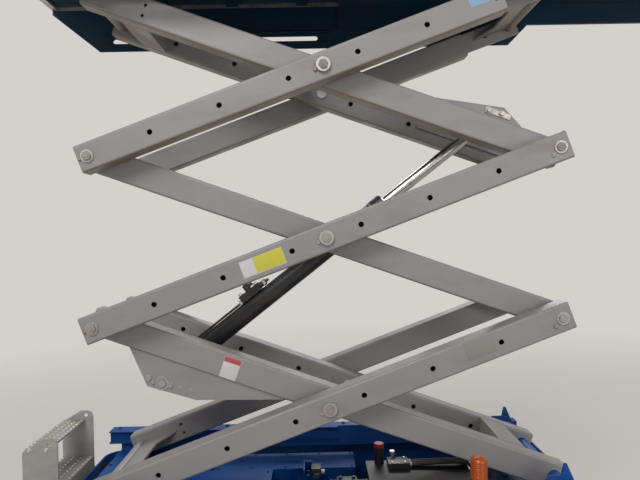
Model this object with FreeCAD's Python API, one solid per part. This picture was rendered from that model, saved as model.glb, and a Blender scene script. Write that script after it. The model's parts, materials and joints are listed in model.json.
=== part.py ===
import FreeCAD, Part
import math
import os
from FreeCAD import Vector

# Self-propelled scissor lift with a stack of three arm pairs, raised to about a third of its travel.
# Millimetres. +X is the front (steered end), +Y the left side, +Z up, floor at Z = 0.

# Scissor stack
ARM_LENGTH = 1950.0        # pin to pin
ARM_DEPTH = 110.0
ARM_WIDTH = 82.0
ARM_WALL = 6.0
ARM_CORNER = 10.0
ARM_OVERHANG = 40.0        # tube beyond its end pin
ARM_CHAMFER = 24.0         # lower corner of the two lowest arm ends
ARM_GAP = 14.0             # between an outer and an inner arm
STACK_HALF = 306.0         # outer face of the outer arms
PAIRS = 3
ANGLE_REST = 20.0
ANGLE_LOW = 4.1
ANGLE_HIGH = 61.2
PIVOT_X = 585.0            # fixed pivots of chassis and platform
PIVOT_Z = 460.0
HOLE_R = 11.0
HOLE_PITCH = 287.0
PAIR_HOLE_R = 7.0          # two small holes near an arm's end
PAIR_HOLE_INSET = 215.0    # from the end pin
PAIR_HOLE_Z = 22.0
BOSS_R = 30.0
PIN_R = 20.0
PIN_CLEAR = 0.05
CAP_R = 25.0
CAP_T = 6.0
HEAD_R = 15.0
HEAD_T = 8.0
CENTRE_CAP_R = 28.0
CENTRE_CAP_T = 14.0
WASHER_R = 30.0
SIDE_PLAY = 0.5

# Narrow end of the top outer arms, which leaves room for the platform's boss
END_STEP = 229.0           # from the end pin
END_PLATE_T = 16.0
END_PLATE_HALF = 45.0
END_HOLE_INSET = 121.0

# Cross members of the stack, measured from an arm's end pin
BOX_IN = 227.0             # torque box at the free end of an inner frame
BOX_OUT = 109.0
BOX_HALF = 54.0
TIE_TUBE_R = 30.0
TIE_NEAR = 100.0
SLIDER_TUBE_R = 21.0
TIE_PLATE_IN = 107.0       # edge of the cross plate between a pair of outer arms
TIE_PLATE_SIDE = 185.0     # how far its corners run along the arms
TIE_PLATE_MOUTH = 138.0    # half width of its middle
TIE_PLATE_T = 8.0
TUBE_WALL = 5.0

# Lift cylinder
CYL_LOW_X = -668.5         # lower pin in the frame of inner frame 1
CYL_LOW_Z = -151.0
CYL_TOP_X = 721.0          # upper pin in the frame of inner frame 3
CYL_TOP_Z = 61.0
CYL_PIN_R = 18.0
END_TUBE_R = 30.0          # cross tube on the axis of an end pin
BARREL_R = 42.0
BARREL_WALL = 7.0
BARREL_LENGTH = 1190.0
ROD_R = 24.0
EYE_R = 38.0
ROD_EYE_R = 34.0
STROKE_START = 283.0       # rod travel already used at rest
PISTON_T = 40.0
EYE_HALF = 32.0
LUG_T = 12.0
LUG_OUT = 206.0
ROD_PIN_GAP = 1.0          # between the rod's pin and the bracket plates
VALVE_X = (425.0, 530.0)   # block on the barrel, measured from the lower pin
VALVE_HALF = 25.0
VALVE_HEIGHT = 34.0
LINE_R = 5.0
LINE_START = 70.0

# Chassis
SIDE_IN = 332.0            # inner face of the side plates
SIDE_T = 8.0
REAR_MARGIN = 35.0         # behind the lower slide block when the stack is down
CHASSIS_FRONT = 660.0
SIDE_FRONT = 640.0
NOSE_FRONT = 760.0
NOSE_HALF = 110.0
NOSE_TOP = 266.0
END_WALL_T = 8.0
END_WALL_TOP = 386.0
END_CORNER_R = 80.0
END_GAP = 55.0             # open strip between the rear wall and the rear deck
FRONT_LIP = 38.0
ARCH_R = 222.0
SHEET = 6.0
RAIL_PLAY = 1.0
BLOCK_HALF_Z = 24.0
BLOCK_HALF_X = 45.0
RAIL_T = 5.0
RAIL_IN = 312.0
FLANGE_OUT = 385.0
SIDE_BOTTOM = 392.0
SIDE_NOTCH = 34.0
WHEEL_DECK_Z = 388.0
FRONT_DECK_X = 420.0
FLOOR_Z = 125.0
FLOOR_HALF = 350.0
FLOOR_FRONT = 330.0
SPINE_HALF = 90.0
SPINE_TOP = 251.0
SPINE_FRONT = 545.0
SUPPORT = 60.0
CYLINDER_GAP_X = 95.0      # the rear deck is open from here on for the lift cylinder
CYLINDER_GAP_Y = 225.0
TIE_DOWN_R = 14.0
TIE_DOWN_T = 12.0
TIE_DOWN_HALF = 27.0
TIE_DOWN_REACH = 46.0      # from the wall to the middle of the hole
TIE_DOWN_Z = 320.0
TIE_DOWN_Y = 240.0
NOSE_TIE_Z = 200.0
NOSE_TIE_Y = 90.0

# Trays, power unit and pivot shaft
TRAY_TOP = 356.0
TRAY_REAR = 156.0          # from the wall behind the rear wheels
TRAY_FRONT = -205.0
TRAY_IN = 150.0
TRAY_OUT = 325.0
TRAY_PLAY = 6.0
MIDDLE_COVER_FRONT = -600.0
TANK = (-160.0, 300.0)
TANK_HALF = 120.0
TANK_TOP = 397.0
FILLER_X = -98.0
FILLER_Y = 98.0
FILLER_R = 22.0
FILLER_HEIGHT = 92.0
MOTOR_R = 56.0
MOTOR_LENGTH = 170.0
MANIFOLD = (-60.0, 30.0)
MANIFOLD_HEIGHT = 26.0
SHAFT_R = 27.0
SHAFT_BOSS_R = 36.0
BRACKET_T = 8.0
HOSE_R = 7.0
HOSE_Y = (40.0, 58.0, 76.0)
HOSE_DROP_X = 350.0        # where the hoses go down to the spine
HOSE_BEND = 40.0

# Doors, ladder and beacon
COVER_REAR_GAP = 16.0
COVER_FRONT = 318.0
COVER_PLAY = 2.0           # outside the floor pan
COVER_DEPTH = 48.0
COVER_LOW = 134.0
COVER_HIGH = 384.0
COVER_SHEET = 4.0
COVER_CORNER = 22.0
HINGE_X = 330.0
HINGE_INSET = 14.0         # from the cover's outer face
HINGE_R = 11.0
HINGE_PIN_R = 6.0
HINGE_LUG = 12.0
LADDER_GAP = 10.0          # between the rear wall and the stringers
LADDER_DEPTH = 147.0
LADDER_LOW = 180.0
LADDER_TOP = 650.0
LADDER_IN = 170.0
LADDER_T = 6.0
TREAD_DEPTH = 138.0
TREAD_SHEET = 8.0
LOW_TREAD = 250.0
MIDDLE_TREAD = 425.0
TOP_TREAD = 600.0
TOP_TREAD_GAP = 38.0
BEACON_X = 230.0
BEACON_Y = -362.0
BEACON_R = 40.0
BEACON_BASE = 40.0
BEACON_HEIGHT = 128.0

# Wheels and steering
REAR_AXLE_INSET = 205.0    # from the chassis' rear edge
FRONT_AXLE_X = 595.0
TYRE_R = 190.5
TYRE_WIDTH = 127.0
TYRE_BORE_R = 143.0
WHEEL_OUT = 405.0
WHEEL_PLAY = 8.5
RIM_T = 9.0
HUB_R = 48.0
HUB_BACK = 101.0           # from the wheel's outer face
HUB_FRONT = 41.0
DISC_BACK = 53.0
DISC_FRONT = 43.0
DISC_DISH = 12.0           # the disc lies deeper at the hub
AXLE_R = 36.0
SPINDLE_R = 25.0
SPINDLE_INSET = 60.0       # these four from the wheel's outer face
FLANGE_INSET = 143.0
BACK_PLATE_INSET = 124.0
KINGPIN_INSET = 170.0
FLANGE_R = 76.0
FLANGE_T = 19.0
BACK_PLATE_T = 12.0
MOTOR_FACE_R = 72.0
MOTOR_FACE_T = 19.0
BEAM_LOW = 150.0
BEAM_HIGH = 240.0
BEAM_HALF = 50.0
BEAM_END = 35.0
KINGPIN_R = 14.0
KNUCKLE_R = 30.0
KNUCKLE_LUG = 24.0
KNUCKLE_PLAY = 2.0
STEER_ARM = 110.0

# Platform, heights above the line of the upper pins
SKIRT_IN = 330.0
SKIRT_T = 6.0
SKIRT_BOTTOM = -50.0
SKIRT_TOP = 158.0
SKIRT_REACH = 80.0         # behind the end of the slot
SKIRT_FRONT = 622.0
SKIRT_REAR_SLOPE = 0.81
SKIRT_FRONT_SLOPE = 1.0
DECK_TOP = 182.0
DECK_SHEET = 4.0
TREAD_T = 3.0              # raised tread sheet on the deck
TREAD_HALF = 290.0
TREAD_MARGIN = 52.0
PLATFORM_REACH = 312.0     # behind the end of the slot
PLATFORM_FRONT = 782.0
SLOT_R = 11.5
PLATFORM_OVERHANG = 59.0   # deck beyond the skirt
RAIL_TUBE_R = 18.0
RAIL_HEIGHT = 1100.0
POST_INSET = 22.0
GATE_POST_Y = 300.0
GATE_SWING_R = 28.0        # from the hinge axis to the post on either side
GATE_TUBE_R = 14.0
GATE_PIN_R = 5.0
GATE_LUG = 24.0
GATE_LUG_R = 8.0
LATCH_PLAY = 0.3
TOE_HEIGHT = 150.0

# Extension deck
EXT_TRAVEL = 840.0
EXT_FRONT = 1672.0
EXT_REAR = -235.0
EXT_BEAM_OUT = 326.0
EXT_BEAM_IN = 312.0
EXT_BEAM_BOTTOM = 45.0
EXT_DECK_TOP = 150.0
RUNNER_PLAY = 0.3
RUNNER_T = 6.0
EXT_RAIL_Y = 330.0
EXT_RAIL_R = 16.0

# Sizes that follow
rest = math.radians(ANGLE_REST)
rise = ARM_LENGTH * math.sin(rest)
run = ARM_LENGTH * math.cos(rest)
slider_x = PIVOT_X - run
centre_x = PIVOT_X - run / 2
slide_back = PIVOT_X - ARM_LENGTH * math.cos(math.radians(ANGLE_LOW))
slide_front = PIVOT_X - ARM_LENGTH * math.cos(math.radians(ANGLE_HIGH))
top_z = PIVOT_Z + PAIRS * rise
half = ARM_LENGTH / 2
outer_in = STACK_HALF - ARM_WIDTH
inner_out = outer_in - ARM_GAP
inner_in = inner_out - ARM_WIDTH
side_out = SIDE_IN + SIDE_T
chassis_rear = slide_back - BLOCK_HALF_X - REAR_MARGIN
rear_axle_x = chassis_rear + REAR_AXLE_INSET
cylinder_gap = rear_axle_x + CYLINDER_GAP_X
deck_z = top_z + DECK_TOP
chassis_top = PIVOT_Z + BLOCK_HALF_Z + RAIL_PLAY + RAIL_T
skirt_out = SKIRT_IN + SKIRT_T
platform_half = skirt_out + PLATFORM_OVERHANG
platform_rear = slide_back - PLATFORM_REACH
rear_wall_x = rear_axle_x + TYRE_R + WHEEL_PLAY
tray_rear = rear_wall_x + TRAY_REAR
cover_in = FLOOR_HALF + COVER_PLAY
cover_out = cover_in + COVER_DEPTH
hinge_y = cover_out - HINGE_INSET
end_step = half - END_STEP
spindle_end = WHEEL_OUT - SPINDLE_INSET
kingpin_y = WHEEL_OUT - KINGPIN_INSET
kingpin_low = BEAM_LOW - KNUCKLE_PLAY - KNUCKLE_LUG
kingpin_high = BEAM_HIGH + KNUCKLE_PLAY + KNUCKLE_LUG
rail_top = deck_z + RAIL_HEIGHT - RAIL_TUBE_R
rail_span = PLATFORM_FRONT - platform_rear - 2 * POST_INSET
post_x = [platform_rear + POST_INSET + rail_span * step / 3 for step in range(4)]
gate_axis_y = GATE_POST_Y - GATE_SWING_R
gate_hinge_z = (deck_z + 250, deck_z + 850)


def box(x0, x1, y0, y1, z0, z1):
    return Part.makeBox(x1 - x0, y1 - y0, z1 - z0, Vector(x0, y0, z0))


def rod_x(radius, x0, x1, y, z):
    return Part.makeCylinder(radius, x1 - x0, Vector(x0, y, z), Vector(1, 0, 0))


def rod_y(radius, x, y0, y1, z):
    return Part.makeCylinder(radius, y1 - y0, Vector(x, y0, z), Vector(0, 1, 0))


def rod_z(radius, x, y, z0, z1):
    return Part.makeCylinder(radius, z1 - z0, Vector(x, y, z0), Vector(0, 0, 1))


def plate_xz(points, y0, y1):
    """Outline in X and Z, as thick as y0 to y1."""
    corners = [Vector(x, y0, z) for x, z in points]
    face = Part.Face(Part.makePolygon(corners + corners[:1]))
    return face.extrude(Vector(0, y1 - y0, 0))


def plate_xy(points, z0, z1):
    corners = [Vector(x, y, z0) for x, y in points]
    face = Part.Face(Part.makePolygon(corners + corners[:1]))
    return face.extrude(Vector(0, 0, z1 - z0))


def fuse(shapes):
    result = shapes[0].multiFuse(shapes[1:]) if len(shapes) > 1 else shapes[0]
    return result.removeSplitter()


def mirrored(shape):
    return shape.mirror(Vector(0, 0, 0), Vector(0, 1, 0))


def sides(shapes):
    """The shapes and their copies on the other side."""
    return list(shapes) + [mirrored(shape) for shape in shapes]


def on_outer(shape, pair):
    """From an outer arm's own frame to its place: outer arms rise towards the front."""
    placed = shape.copy()
    placed.rotate(Vector(0, 0, 0), Vector(0, 1, 0), -ANGLE_REST)
    placed.translate(Vector(centre_x, 0, PIVOT_Z + (pair + 0.5) * rise))
    return placed


def on_inner(shape, pair):
    """From an inner arm's own frame to its place: inner arms fall towards the front."""
    placed = shape.copy()
    placed.rotate(Vector(0, 0, 0), Vector(0, 1, 0), ANGLE_REST)
    placed.translate(Vector(centre_x, 0, PIVOT_Z + (pair + 0.5) * rise))
    return placed


def along_x(edge):
    start, end = edge.Vertexes[0].Point, edge.Vertexes[-1].Point
    return abs(start.x - end.x) > 1 and abs(start.z - end.z) < 0.01 and abs(start.y - end.y) < 0.01


def rounded_bar(x0, x1, y0, y1, z0, z1, radius):
    bar = box(x0, x1, y0, y1, z0, z1)
    return bar.makeFillet(radius, [edge for edge in bar.Edges if along_x(edge)])


def arm_tube(x1, y0, y1, wall_y, holes):
    """Hollow arm from its rear end to x1, with round holes in the wall at wall_y."""
    x0 = -half - ARM_OVERHANG
    tube = rounded_bar(x0, x1, y0, y1, -ARM_DEPTH / 2, ARM_DEPTH / 2, ARM_CORNER)
    hollow = box(x0 + ARM_WALL, x1 - ARM_WALL, y0 + ARM_WALL, y1 - ARM_WALL,
                 -ARM_DEPTH / 2 + ARM_WALL, ARM_DEPTH / 2 - ARM_WALL)
    cuts = [rod_y(radius, x, wall_y - ARM_WALL - 1, wall_y + ARM_WALL + 1, z) for x, z, radius in holes]
    return tube.cut([hollow] + cuts)


def with_bosses(arm, bosses):
    """Pin bosses given as place, boss radius, pin radius and the two faces."""
    added = [rod_y(boss_r, x, y0, y1, 0) for x, boss_r, pin_r, y0, y1 in bosses]
    bores = [rod_y(pin_r + PIN_CLEAR, x, y0 - 1, y1 + 1, 0) for x, boss_r, pin_r, y0, y1 in bosses]
    return arm.fuse(added).cut(bores)


row_holes = [(HOLE_PITCH * (step + 0.5) * sign, 0, HOLE_R) for step in range(3) for sign in (-1, 1)]
pair_holes = [(PAIR_HOLE_INSET - half, z, PAIR_HOLE_R) for z in (-PAIR_HOLE_Z, PAIR_HOLE_Z)]


def low_corner(sign):
    """Wedge that takes the lower corner off an arm's end, so that it swings clear of the wheel deck."""
    end = sign * (half + ARM_OVERHANG)
    low = -ARM_DEPTH / 2
    outline = [(end - sign * ARM_CHAMFER, low - 1), (end + sign, low + ARM_CHAMFER), (end + sign, low - 1)]
    return plate_xz(outline, -STACK_HALF - 1, STACK_HALF + 1)


def outer_arms(pair):
    end = half + ARM_OVERHANG
    bosses = [(x, BOSS_R, PIN_R, outer_in, STACK_HALF) for x in (-half, 0, half)]
    if pair == PAIRS - 1:
        tube = arm_tube(end_step, outer_in, STACK_HALF, STACK_HALF, row_holes)
        plate_out = outer_in + END_PLATE_T
        tube = tube.fuse(box(end_step - ARM_WALL, end, outer_in, plate_out, -END_PLATE_HALF, END_PLATE_HALF))
        tube = tube.cut(rod_y(HOLE_R, half - END_HOLE_INSET, outer_in - 1, plate_out + 1, 0))
        bosses[2] = (half, BOSS_R, PIN_R, outer_in, plate_out)
    else:
        tube = arm_tube(end, outer_in, STACK_HALF, STACK_HALF, row_holes)
    if pair == 0:
        pair_cuts = [rod_y(radius, x, outer_in - 1, outer_in + ARM_WALL + 1, z) for x, z, radius in pair_holes]
        tube = tube.cut([low_corner(-1)] + pair_cuts)
    return [on_outer(arm, pair) for arm in sides([with_bosses(tube, bosses)])]


def inner_arms(pair):
    end = half + ARM_OVERHANG
    bosses = [(x, BOSS_R, PIN_R, inner_in, inner_out) for x in (-half, 0, half)]
    if pair == 0:
        bosses[2] = (half, SHAFT_BOSS_R, SHAFT_R, inner_in, inner_out)
        tube = arm_tube(end, inner_in, inner_out, inner_in, row_holes).cut(low_corner(1))
    elif pair == PAIRS - 1:
        tube = arm_tube(end, inner_in, inner_out, inner_in, row_holes[:5])
        tube = tube.cut([rod_y(radius, x, inner_out - ARM_WALL - 1, inner_out + 1, z) for x, z, radius in pair_holes])
    else:
        tube = arm_tube(end, inner_in, inner_out, inner_in, row_holes)
    return [on_inner(arm, pair) for arm in sides([with_bosses(tube, bosses)])]


def arm_pin(x, cap):
    """Pin fixed in an outer arm and turning in the inner arm beside it."""
    pieces = [
        rod_y(PIN_R, x, inner_in, STACK_HALF, 0),
        rod_y(WASHER_R, x, inner_out + SIDE_PLAY, outer_in, 0),
        rod_y(PIN_R + 2, x, inner_in - CAP_T - SIDE_PLAY, inner_in - SIDE_PLAY, 0),
    ]
    if cap == "centre":
        pieces.append(rod_y(CENTRE_CAP_R, x, STACK_HALF, STACK_HALF + CENTRE_CAP_T, 0))
    else:
        pieces.append(rod_y(CAP_R, x, STACK_HALF, STACK_HALF + CAP_T, 0))
        pieces.append(rod_y(HEAD_R, x, STACK_HALF, STACK_HALF + CAP_T + HEAD_T, 0))
    return fuse(pieces)


def slider_pin(block_side):
    """Pin of the lower slide block, through the end of outer arm 1."""
    pieces = [
        rod_y(PIN_R, -half, outer_in, block_side, 0),
        rod_y(CAP_R, -half, outer_in - CAP_T, outer_in, 0),
    ]
    return fuse(pieces)


def outer_pins(pair):
    pins = [arm_pin(0, "centre")]
    if pair < PAIRS - 1:
        pins.append(arm_pin(half, "end"))
    if pair > 0:
        pins.append(arm_pin(-half, "end"))
    else:
        pins.append(slider_pin(SIDE_IN - SIDE_PLAY))
    return [on_outer(pin, pair) for pin in sides(pins)]


def cross_tube(radius, x, z, reach):
    tube = rod_y(radius, x, -reach, reach, z)
    return tube.cut(rod_y(radius - TUBE_WALL, x, -reach - 1, reach + 1, z))


def torque_box(sign):
    """Box section across the free end of an inner frame."""
    x0, x1 = sorted((sign * (half - BOX_IN), sign * (half - BOX_OUT)))
    outer = box(x0, x1, -inner_in, inner_in, -BOX_HALF, BOX_HALF)
    inner = box(x0 + ARM_WALL, x1 - ARM_WALL, -inner_in - 1, inner_in + 1,
                -BOX_HALF + ARM_WALL, BOX_HALF - ARM_WALL)
    return outer.cut(inner)


def end_ties(sign):
    """Round tube and cross plate, with its corners drawn out along the arms, between a pair of outer arms."""
    reach = outer_in - CAP_T
    tube = rod_y(SLIDER_TUBE_R, sign * half, -reach, reach, 0)
    insets = [(SLIDER_TUBE_R / 2, reach), (SLIDER_TUBE_R + CAP_R, reach), (SLIDER_TUBE_R + CAP_R, outer_in),
              (TIE_PLATE_SIDE, outer_in), (TIE_PLATE_IN, TIE_PLATE_MOUTH)]
    outline = [(sign * (half - inset), y) for inset, y in insets]
    outline += [(x, -y) for x, y in reversed(outline)]
    return fuse([tube, plate_xy(outline, -TIE_PLATE_T / 2, TIE_PLATE_T / 2)])


def lower_lugs():
    """Gusset plates under inner frame 1 and the lift cylinder's lower pin with its spacers."""
    edge = -ARM_DEPTH / 2
    outline = [(-171.5, edge), (-53.5, CYL_LOW_Z - 31), (153.5, CYL_LOW_Z - 21), (492.5, edge)]
    outline = [(CYL_LOW_X + x, z) for x, z in outline]
    hole = rod_y(CYL_PIN_R, CYL_LOW_X, LUG_OUT - LUG_T - 1, LUG_OUT + 1, CYL_LOW_Z)
    lug = plate_xz(outline, LUG_OUT - LUG_T, LUG_OUT).cut(hole)
    pin = rod_y(CYL_PIN_R, CYL_LOW_X, -LUG_OUT - 8, LUG_OUT + 8, CYL_LOW_Z)
    collars = sides([rod_y(CYL_PIN_R + 12, CYL_LOW_X, EYE_HALF + 2, LUG_OUT - LUG_T, CYL_LOW_Z)])
    return sides([lug]) + [fuse([pin] + collars)]


def upper_lugs():
    """Bracket plates on the inner faces of inner frame 3, either side of the rod's eye."""
    edge = ARM_DEPTH / 2
    outline = [(-251, edge - 60), (-251, edge + 22), (41, edge + 77), (129, edge + 30), (174, edge),
               (174, edge - 60)]
    return sides([plate_xz([(CYL_TOP_X + x, z) for x, z in outline], inner_in - LUG_T, inner_in)])


def inner_cross(pair):
    if pair == 0:
        pieces = [torque_box(1), cross_tube(TIE_TUBE_R, TIE_NEAR, 0, inner_in),
                  cross_tube(END_TUBE_R, -half, 0, inner_in)] + lower_lugs()
    elif pair == PAIRS - 1:
        pieces = [torque_box(-1), cross_tube(END_TUBE_R, -half, 0, inner_in),
                  cross_tube(TIE_TUBE_R, -TIE_NEAR, 0, inner_in),
                  cross_tube(END_TUBE_R, half, 0, inner_in)] + upper_lugs()
    else:
        pieces = [cross_tube(END_TUBE_R, -half, 0, inner_in),
                  cross_tube(END_TUBE_R, half, 0, inner_in)]
    return [on_inner(piece, pair) for piece in pieces]


def from_inner(x, z, pair):
    """A point of an inner arm's frame in the row frame."""
    c, s = math.cos(rest), math.sin(rest)
    return (centre_x + x * c + z * s, PIVOT_Z + (pair + 0.5) * rise - x * s + z * c)


def along_cylinder(shape):
    """From the lift cylinder's own frame, lower pin at the origin and axis on X, to its place."""
    x0, z0 = from_inner(CYL_LOW_X, CYL_LOW_Z, 0)
    x1, z1 = from_inner(CYL_TOP_X, CYL_TOP_Z, PAIRS - 1)
    placed = shape.copy()
    placed.rotate(Vector(0, 0, 0), Vector(0, 1, 0), -math.degrees(math.atan2(z1 - z0, x1 - x0)))
    placed.translate(Vector(x0, 0, z0))
    return placed


def cylinder_length():
    x0, z0 = from_inner(CYL_LOW_X, CYL_LOW_Z, 0)
    x1, z1 = from_inner(CYL_TOP_X, CYL_TOP_Z, PAIRS - 1)
    return math.hypot(x1 - x0, z1 - z0)


def barrel():
    body = rod_x(BARREL_R, EYE_R - 6, BARREL_LENGTH, 0, 0)
    gland = rod_x(BARREL_R + 4, BARREL_LENGTH - 60, BARREL_LENGTH, 0, 0)
    eye = rod_y(EYE_R, 0, -EYE_HALF, EYE_HALF, 0)
    solid = fuse([body, gland, eye])
    bore = rod_x(BARREL_R - BARREL_WALL, EYE_R + 20, BARREL_LENGTH - 60, 0, 0)
    throat = rod_x(ROD_R + PIN_CLEAR, BARREL_LENGTH - 61, BARREL_LENGTH + 1, 0, 0)
    pin_hole = rod_y(CYL_PIN_R + PIN_CLEAR, 0, -EYE_HALF - 1, EYE_HALF + 1, 0)
    return along_cylinder(solid.cut([bore, throat, pin_hole]))


def piston_rod():
    length = cylinder_length()
    piston_x = EYE_R + 28 + STROKE_START
    shaft = rod_x(ROD_R, piston_x, length - ROD_EYE_R + 6, 0, 0)
    piston = rod_x(BARREL_R - BARREL_WALL - 0.3, piston_x, piston_x + PISTON_T, 0, 0)
    eye = rod_y(ROD_EYE_R, length, -EYE_HALF, EYE_HALF, 0)
    solid = fuse([shaft, piston, eye])
    solid = solid.cut(rod_y(CYL_PIN_R + PIN_CLEAR, length, -EYE_HALF - 1, EYE_HALF + 1, 0))
    reach = inner_in - LUG_T - ROD_PIN_GAP
    pin = rod_y(CYL_PIN_R, length, -reach, reach, 0)
    return [along_cylinder(solid), along_cylinder(pin)]


def valve_block():
    """Block on the barrel with two hard lines that run down beside it."""
    block = box(VALVE_X[0], VALVE_X[1], -VALVE_HALF, VALVE_HALF, BARREL_R, BARREL_R + VALVE_HEIGHT)
    cap = rod_x(VALVE_HALF / 2, VALVE_X[1] - 10, VALVE_X[1] + 22, 0, BARREL_R + VALVE_HEIGHT / 2)
    block = fuse([block.cut(rod_x(BARREL_R, VALVE_X[0] - 1, VALVE_X[1] + 1, 0, 0)), cap])
    line_z = BARREL_R + LINE_R + 2
    lines = [rod_x(LINE_R, LINE_START, VALVE_X[0], y, line_z) for y in (-VALVE_HALF / 2, VALVE_HALF / 2)]
    clip = box(LINE_START + 20, LINE_START + 44, -VALVE_HALF, VALVE_HALF, BARREL_R - 12, line_z)
    clip = clip.cut([rod_x(BARREL_R, 0, VALVE_X[0], 0, 0)] + lines)
    return [along_cylinder(piece) for piece in [block] + lines + clip.Solids]


def slide_block(x, z, y0, y1, hole_r):
    block = box(x - BLOCK_HALF_X, x + BLOCK_HALF_X, y0, y1, z - BLOCK_HALF_Z, z + BLOCK_HALF_Z)
    return block.cut(rod_y(hole_r, x, y0 - 1, y1 + 1, z))


def lower_slide_blocks():
    block = slide_block(slider_x, PIVOT_Z, STACK_HALF + 3, SIDE_IN - RAIL_PLAY, PIN_R + PIN_CLEAR)
    return sides([block])


def upper_slide_blocks():
    block = slide_block(slider_x, top_z, STACK_HALF + 5, SKIRT_IN - RAIL_PLAY, PIN_R + PIN_CLEAR)
    return sides([block])


def upper_slider_pins():
    """Stub shafts from inner frame 3, through the upper slide blocks and the platform's slots."""
    shaft = rod_y(PIN_R, -half, inner_in + 1, SKIRT_IN - RAIL_PLAY, 0)
    collar = rod_y(WASHER_R, -half, inner_out, STACK_HALF + 4, 0)
    stem = rod_y(SLOT_R - 1, -half, SKIRT_IN - RAIL_PLAY, skirt_out + 8, 0)
    head = rod_y(HEAD_R + 3, -half, skirt_out + 1, skirt_out + 9, 0)
    return [on_inner(pin, PAIRS - 1) for pin in sides([fuse([shaft, collar, stem, head])])]


def channel(y_web, y_edge, z, x0, x1):
    """The two flanges that a slide block runs between."""
    low = z - BLOCK_HALF_Z - RAIL_PLAY
    high = z + BLOCK_HALF_Z + RAIL_PLAY
    return [box(x0, x1, y_edge, y_web, low - RAIL_T, low), box(x0, x1, y_edge, y_web, high, high + RAIL_T)]


def chassis_sides():
    """Side plates with the outer flange, and the channels of the lower slide blocks."""
    front_of_rails = slide_front + BLOCK_HALF_X + 30
    notch_x = chassis_rear + END_GAP
    notch_z = SIDE_BOTTOM + SIDE_NOTCH
    plate = plate_xz([(chassis_rear, notch_z), (chassis_rear, chassis_top), (SIDE_FRONT, chassis_top),
                      (SIDE_FRONT, SIDE_BOTTOM), (notch_x, SIDE_BOTTOM), (notch_x, notch_z)], SIDE_IN, side_out)
    flange = box(chassis_rear, SIDE_FRONT, side_out, FLANGE_OUT, chassis_top - SHEET, chassis_top)
    return sides([plate, flange] + channel(SIDE_IN, RAIL_IN, PIVOT_Z, chassis_rear, front_of_rails))


def tie_down(x, y, z, direction):
    """Lug with a hole for a shackle, standing out from an end plate."""
    eye_x = x + direction * TIE_DOWN_REACH
    x0, x1 = sorted((x, eye_x))
    lug = box(x0, x1, y, y + TIE_DOWN_T, z - TIE_DOWN_HALF, z + TIE_DOWN_HALF)
    lug = fuse([lug, rod_y(TIE_DOWN_HALF, eye_x, y, y + TIE_DOWN_T, z)])
    return lug.cut(rod_y(TIE_DOWN_R, eye_x, y - 1, y + TIE_DOWN_T + 1, z))


def end_corner():
    """Rounded corner of the rear wall, cut out over the wheel."""
    flat = side_out - END_CORNER_R
    x = chassis_rear - END_WALL_T + END_CORNER_R
    ring = rod_z(END_CORNER_R, x, flat, TYRE_R, END_WALL_TOP)
    ring = ring.cut(rod_z(END_CORNER_R - END_WALL_T, x, flat, TYRE_R - 1, END_WALL_TOP + 1))
    quarter = box(x - END_CORNER_R, x, flat, side_out, TYRE_R, END_WALL_TOP)
    return ring.common(quarter).cut(rod_y(ARCH_R, rear_axle_x, flat - 1, side_out + 1, TYRE_R))


def wheel_decks():
    """Plates over the two axles with the rear wall and the front nose."""
    deck_top = WHEEL_DECK_Z + SHEET
    flat = side_out - END_CORNER_R
    wall = chassis_rear - END_WALL_T
    rear = [
        box(chassis_rear + END_GAP, cylinder_gap, -SIDE_IN, SIDE_IN, WHEEL_DECK_Z, deck_top),
        box(wall, chassis_rear, -flat, flat, FLOOR_Z, END_WALL_TOP),
    ]
    rear += sides([
        box(cylinder_gap, rear_wall_x, CYLINDER_GAP_Y, SIDE_IN, WHEEL_DECK_Z, deck_top),
        end_corner(),
        tie_down(wall, TIE_DOWN_Y, TIE_DOWN_Z, -1),
    ])
    front = [
        box(FRONT_DECK_X, CHASSIS_FRONT, -SIDE_IN, SIDE_IN, WHEEL_DECK_Z, deck_top),
        box(CHASSIS_FRONT, CHASSIS_FRONT + END_WALL_T, -SIDE_IN, SIDE_IN, WHEEL_DECK_Z, deck_top + FRONT_LIP),
        box(SPINE_FRONT, CHASSIS_FRONT, -NOSE_HALF, NOSE_HALF, NOSE_TOP, WHEEL_DECK_Z),
        box(SPINE_FRONT, NOSE_FRONT - SHEET, -NOSE_HALF, NOSE_HALF, NOSE_TOP - 26, NOSE_TOP),
        box(NOSE_FRONT - SHEET, NOSE_FRONT, -NOSE_HALF - 25, NOSE_HALF + 25, FLOOR_Z, NOSE_TOP),
    ]
    front += sides([tie_down(NOSE_FRONT, NOSE_TIE_Y, NOSE_TIE_Z, 1)])
    return rear + front


def chassis_base():
    """Floor pan between the axles, the spine down the middle and its supports."""
    floor_top = FLOOR_Z + SHEET
    wall_front = rear_wall_x + SHEET
    spine = box(chassis_rear, SPINE_FRONT, -SPINE_HALF, SPINE_HALF, floor_top, SPINE_TOP)
    pieces = [
        box(rear_wall_x, FLOOR_FRONT, -FLOOR_HALF, FLOOR_HALF, FLOOR_Z, floor_top),
        spine.cut(rod_y(AXLE_R, rear_axle_x, -SPINE_HALF - 1, SPINE_HALF + 1, TYRE_R)),
        box(rear_wall_x, wall_front, -SPINE_HALF, SPINE_HALF, SPINE_TOP, SIDE_BOTTOM),
    ]
    pieces += sides([box(rear_wall_x, wall_front, SPINE_HALF, side_out, floor_top, SIDE_BOTTOM)])
    for x in (chassis_rear + END_GAP, FRONT_DECK_X + 10):
        pieces.append(box(x, x + SUPPORT, -SPINE_HALF, SPINE_HALF, SPINE_TOP, WHEEL_DECK_Z))
    return pieces


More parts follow.
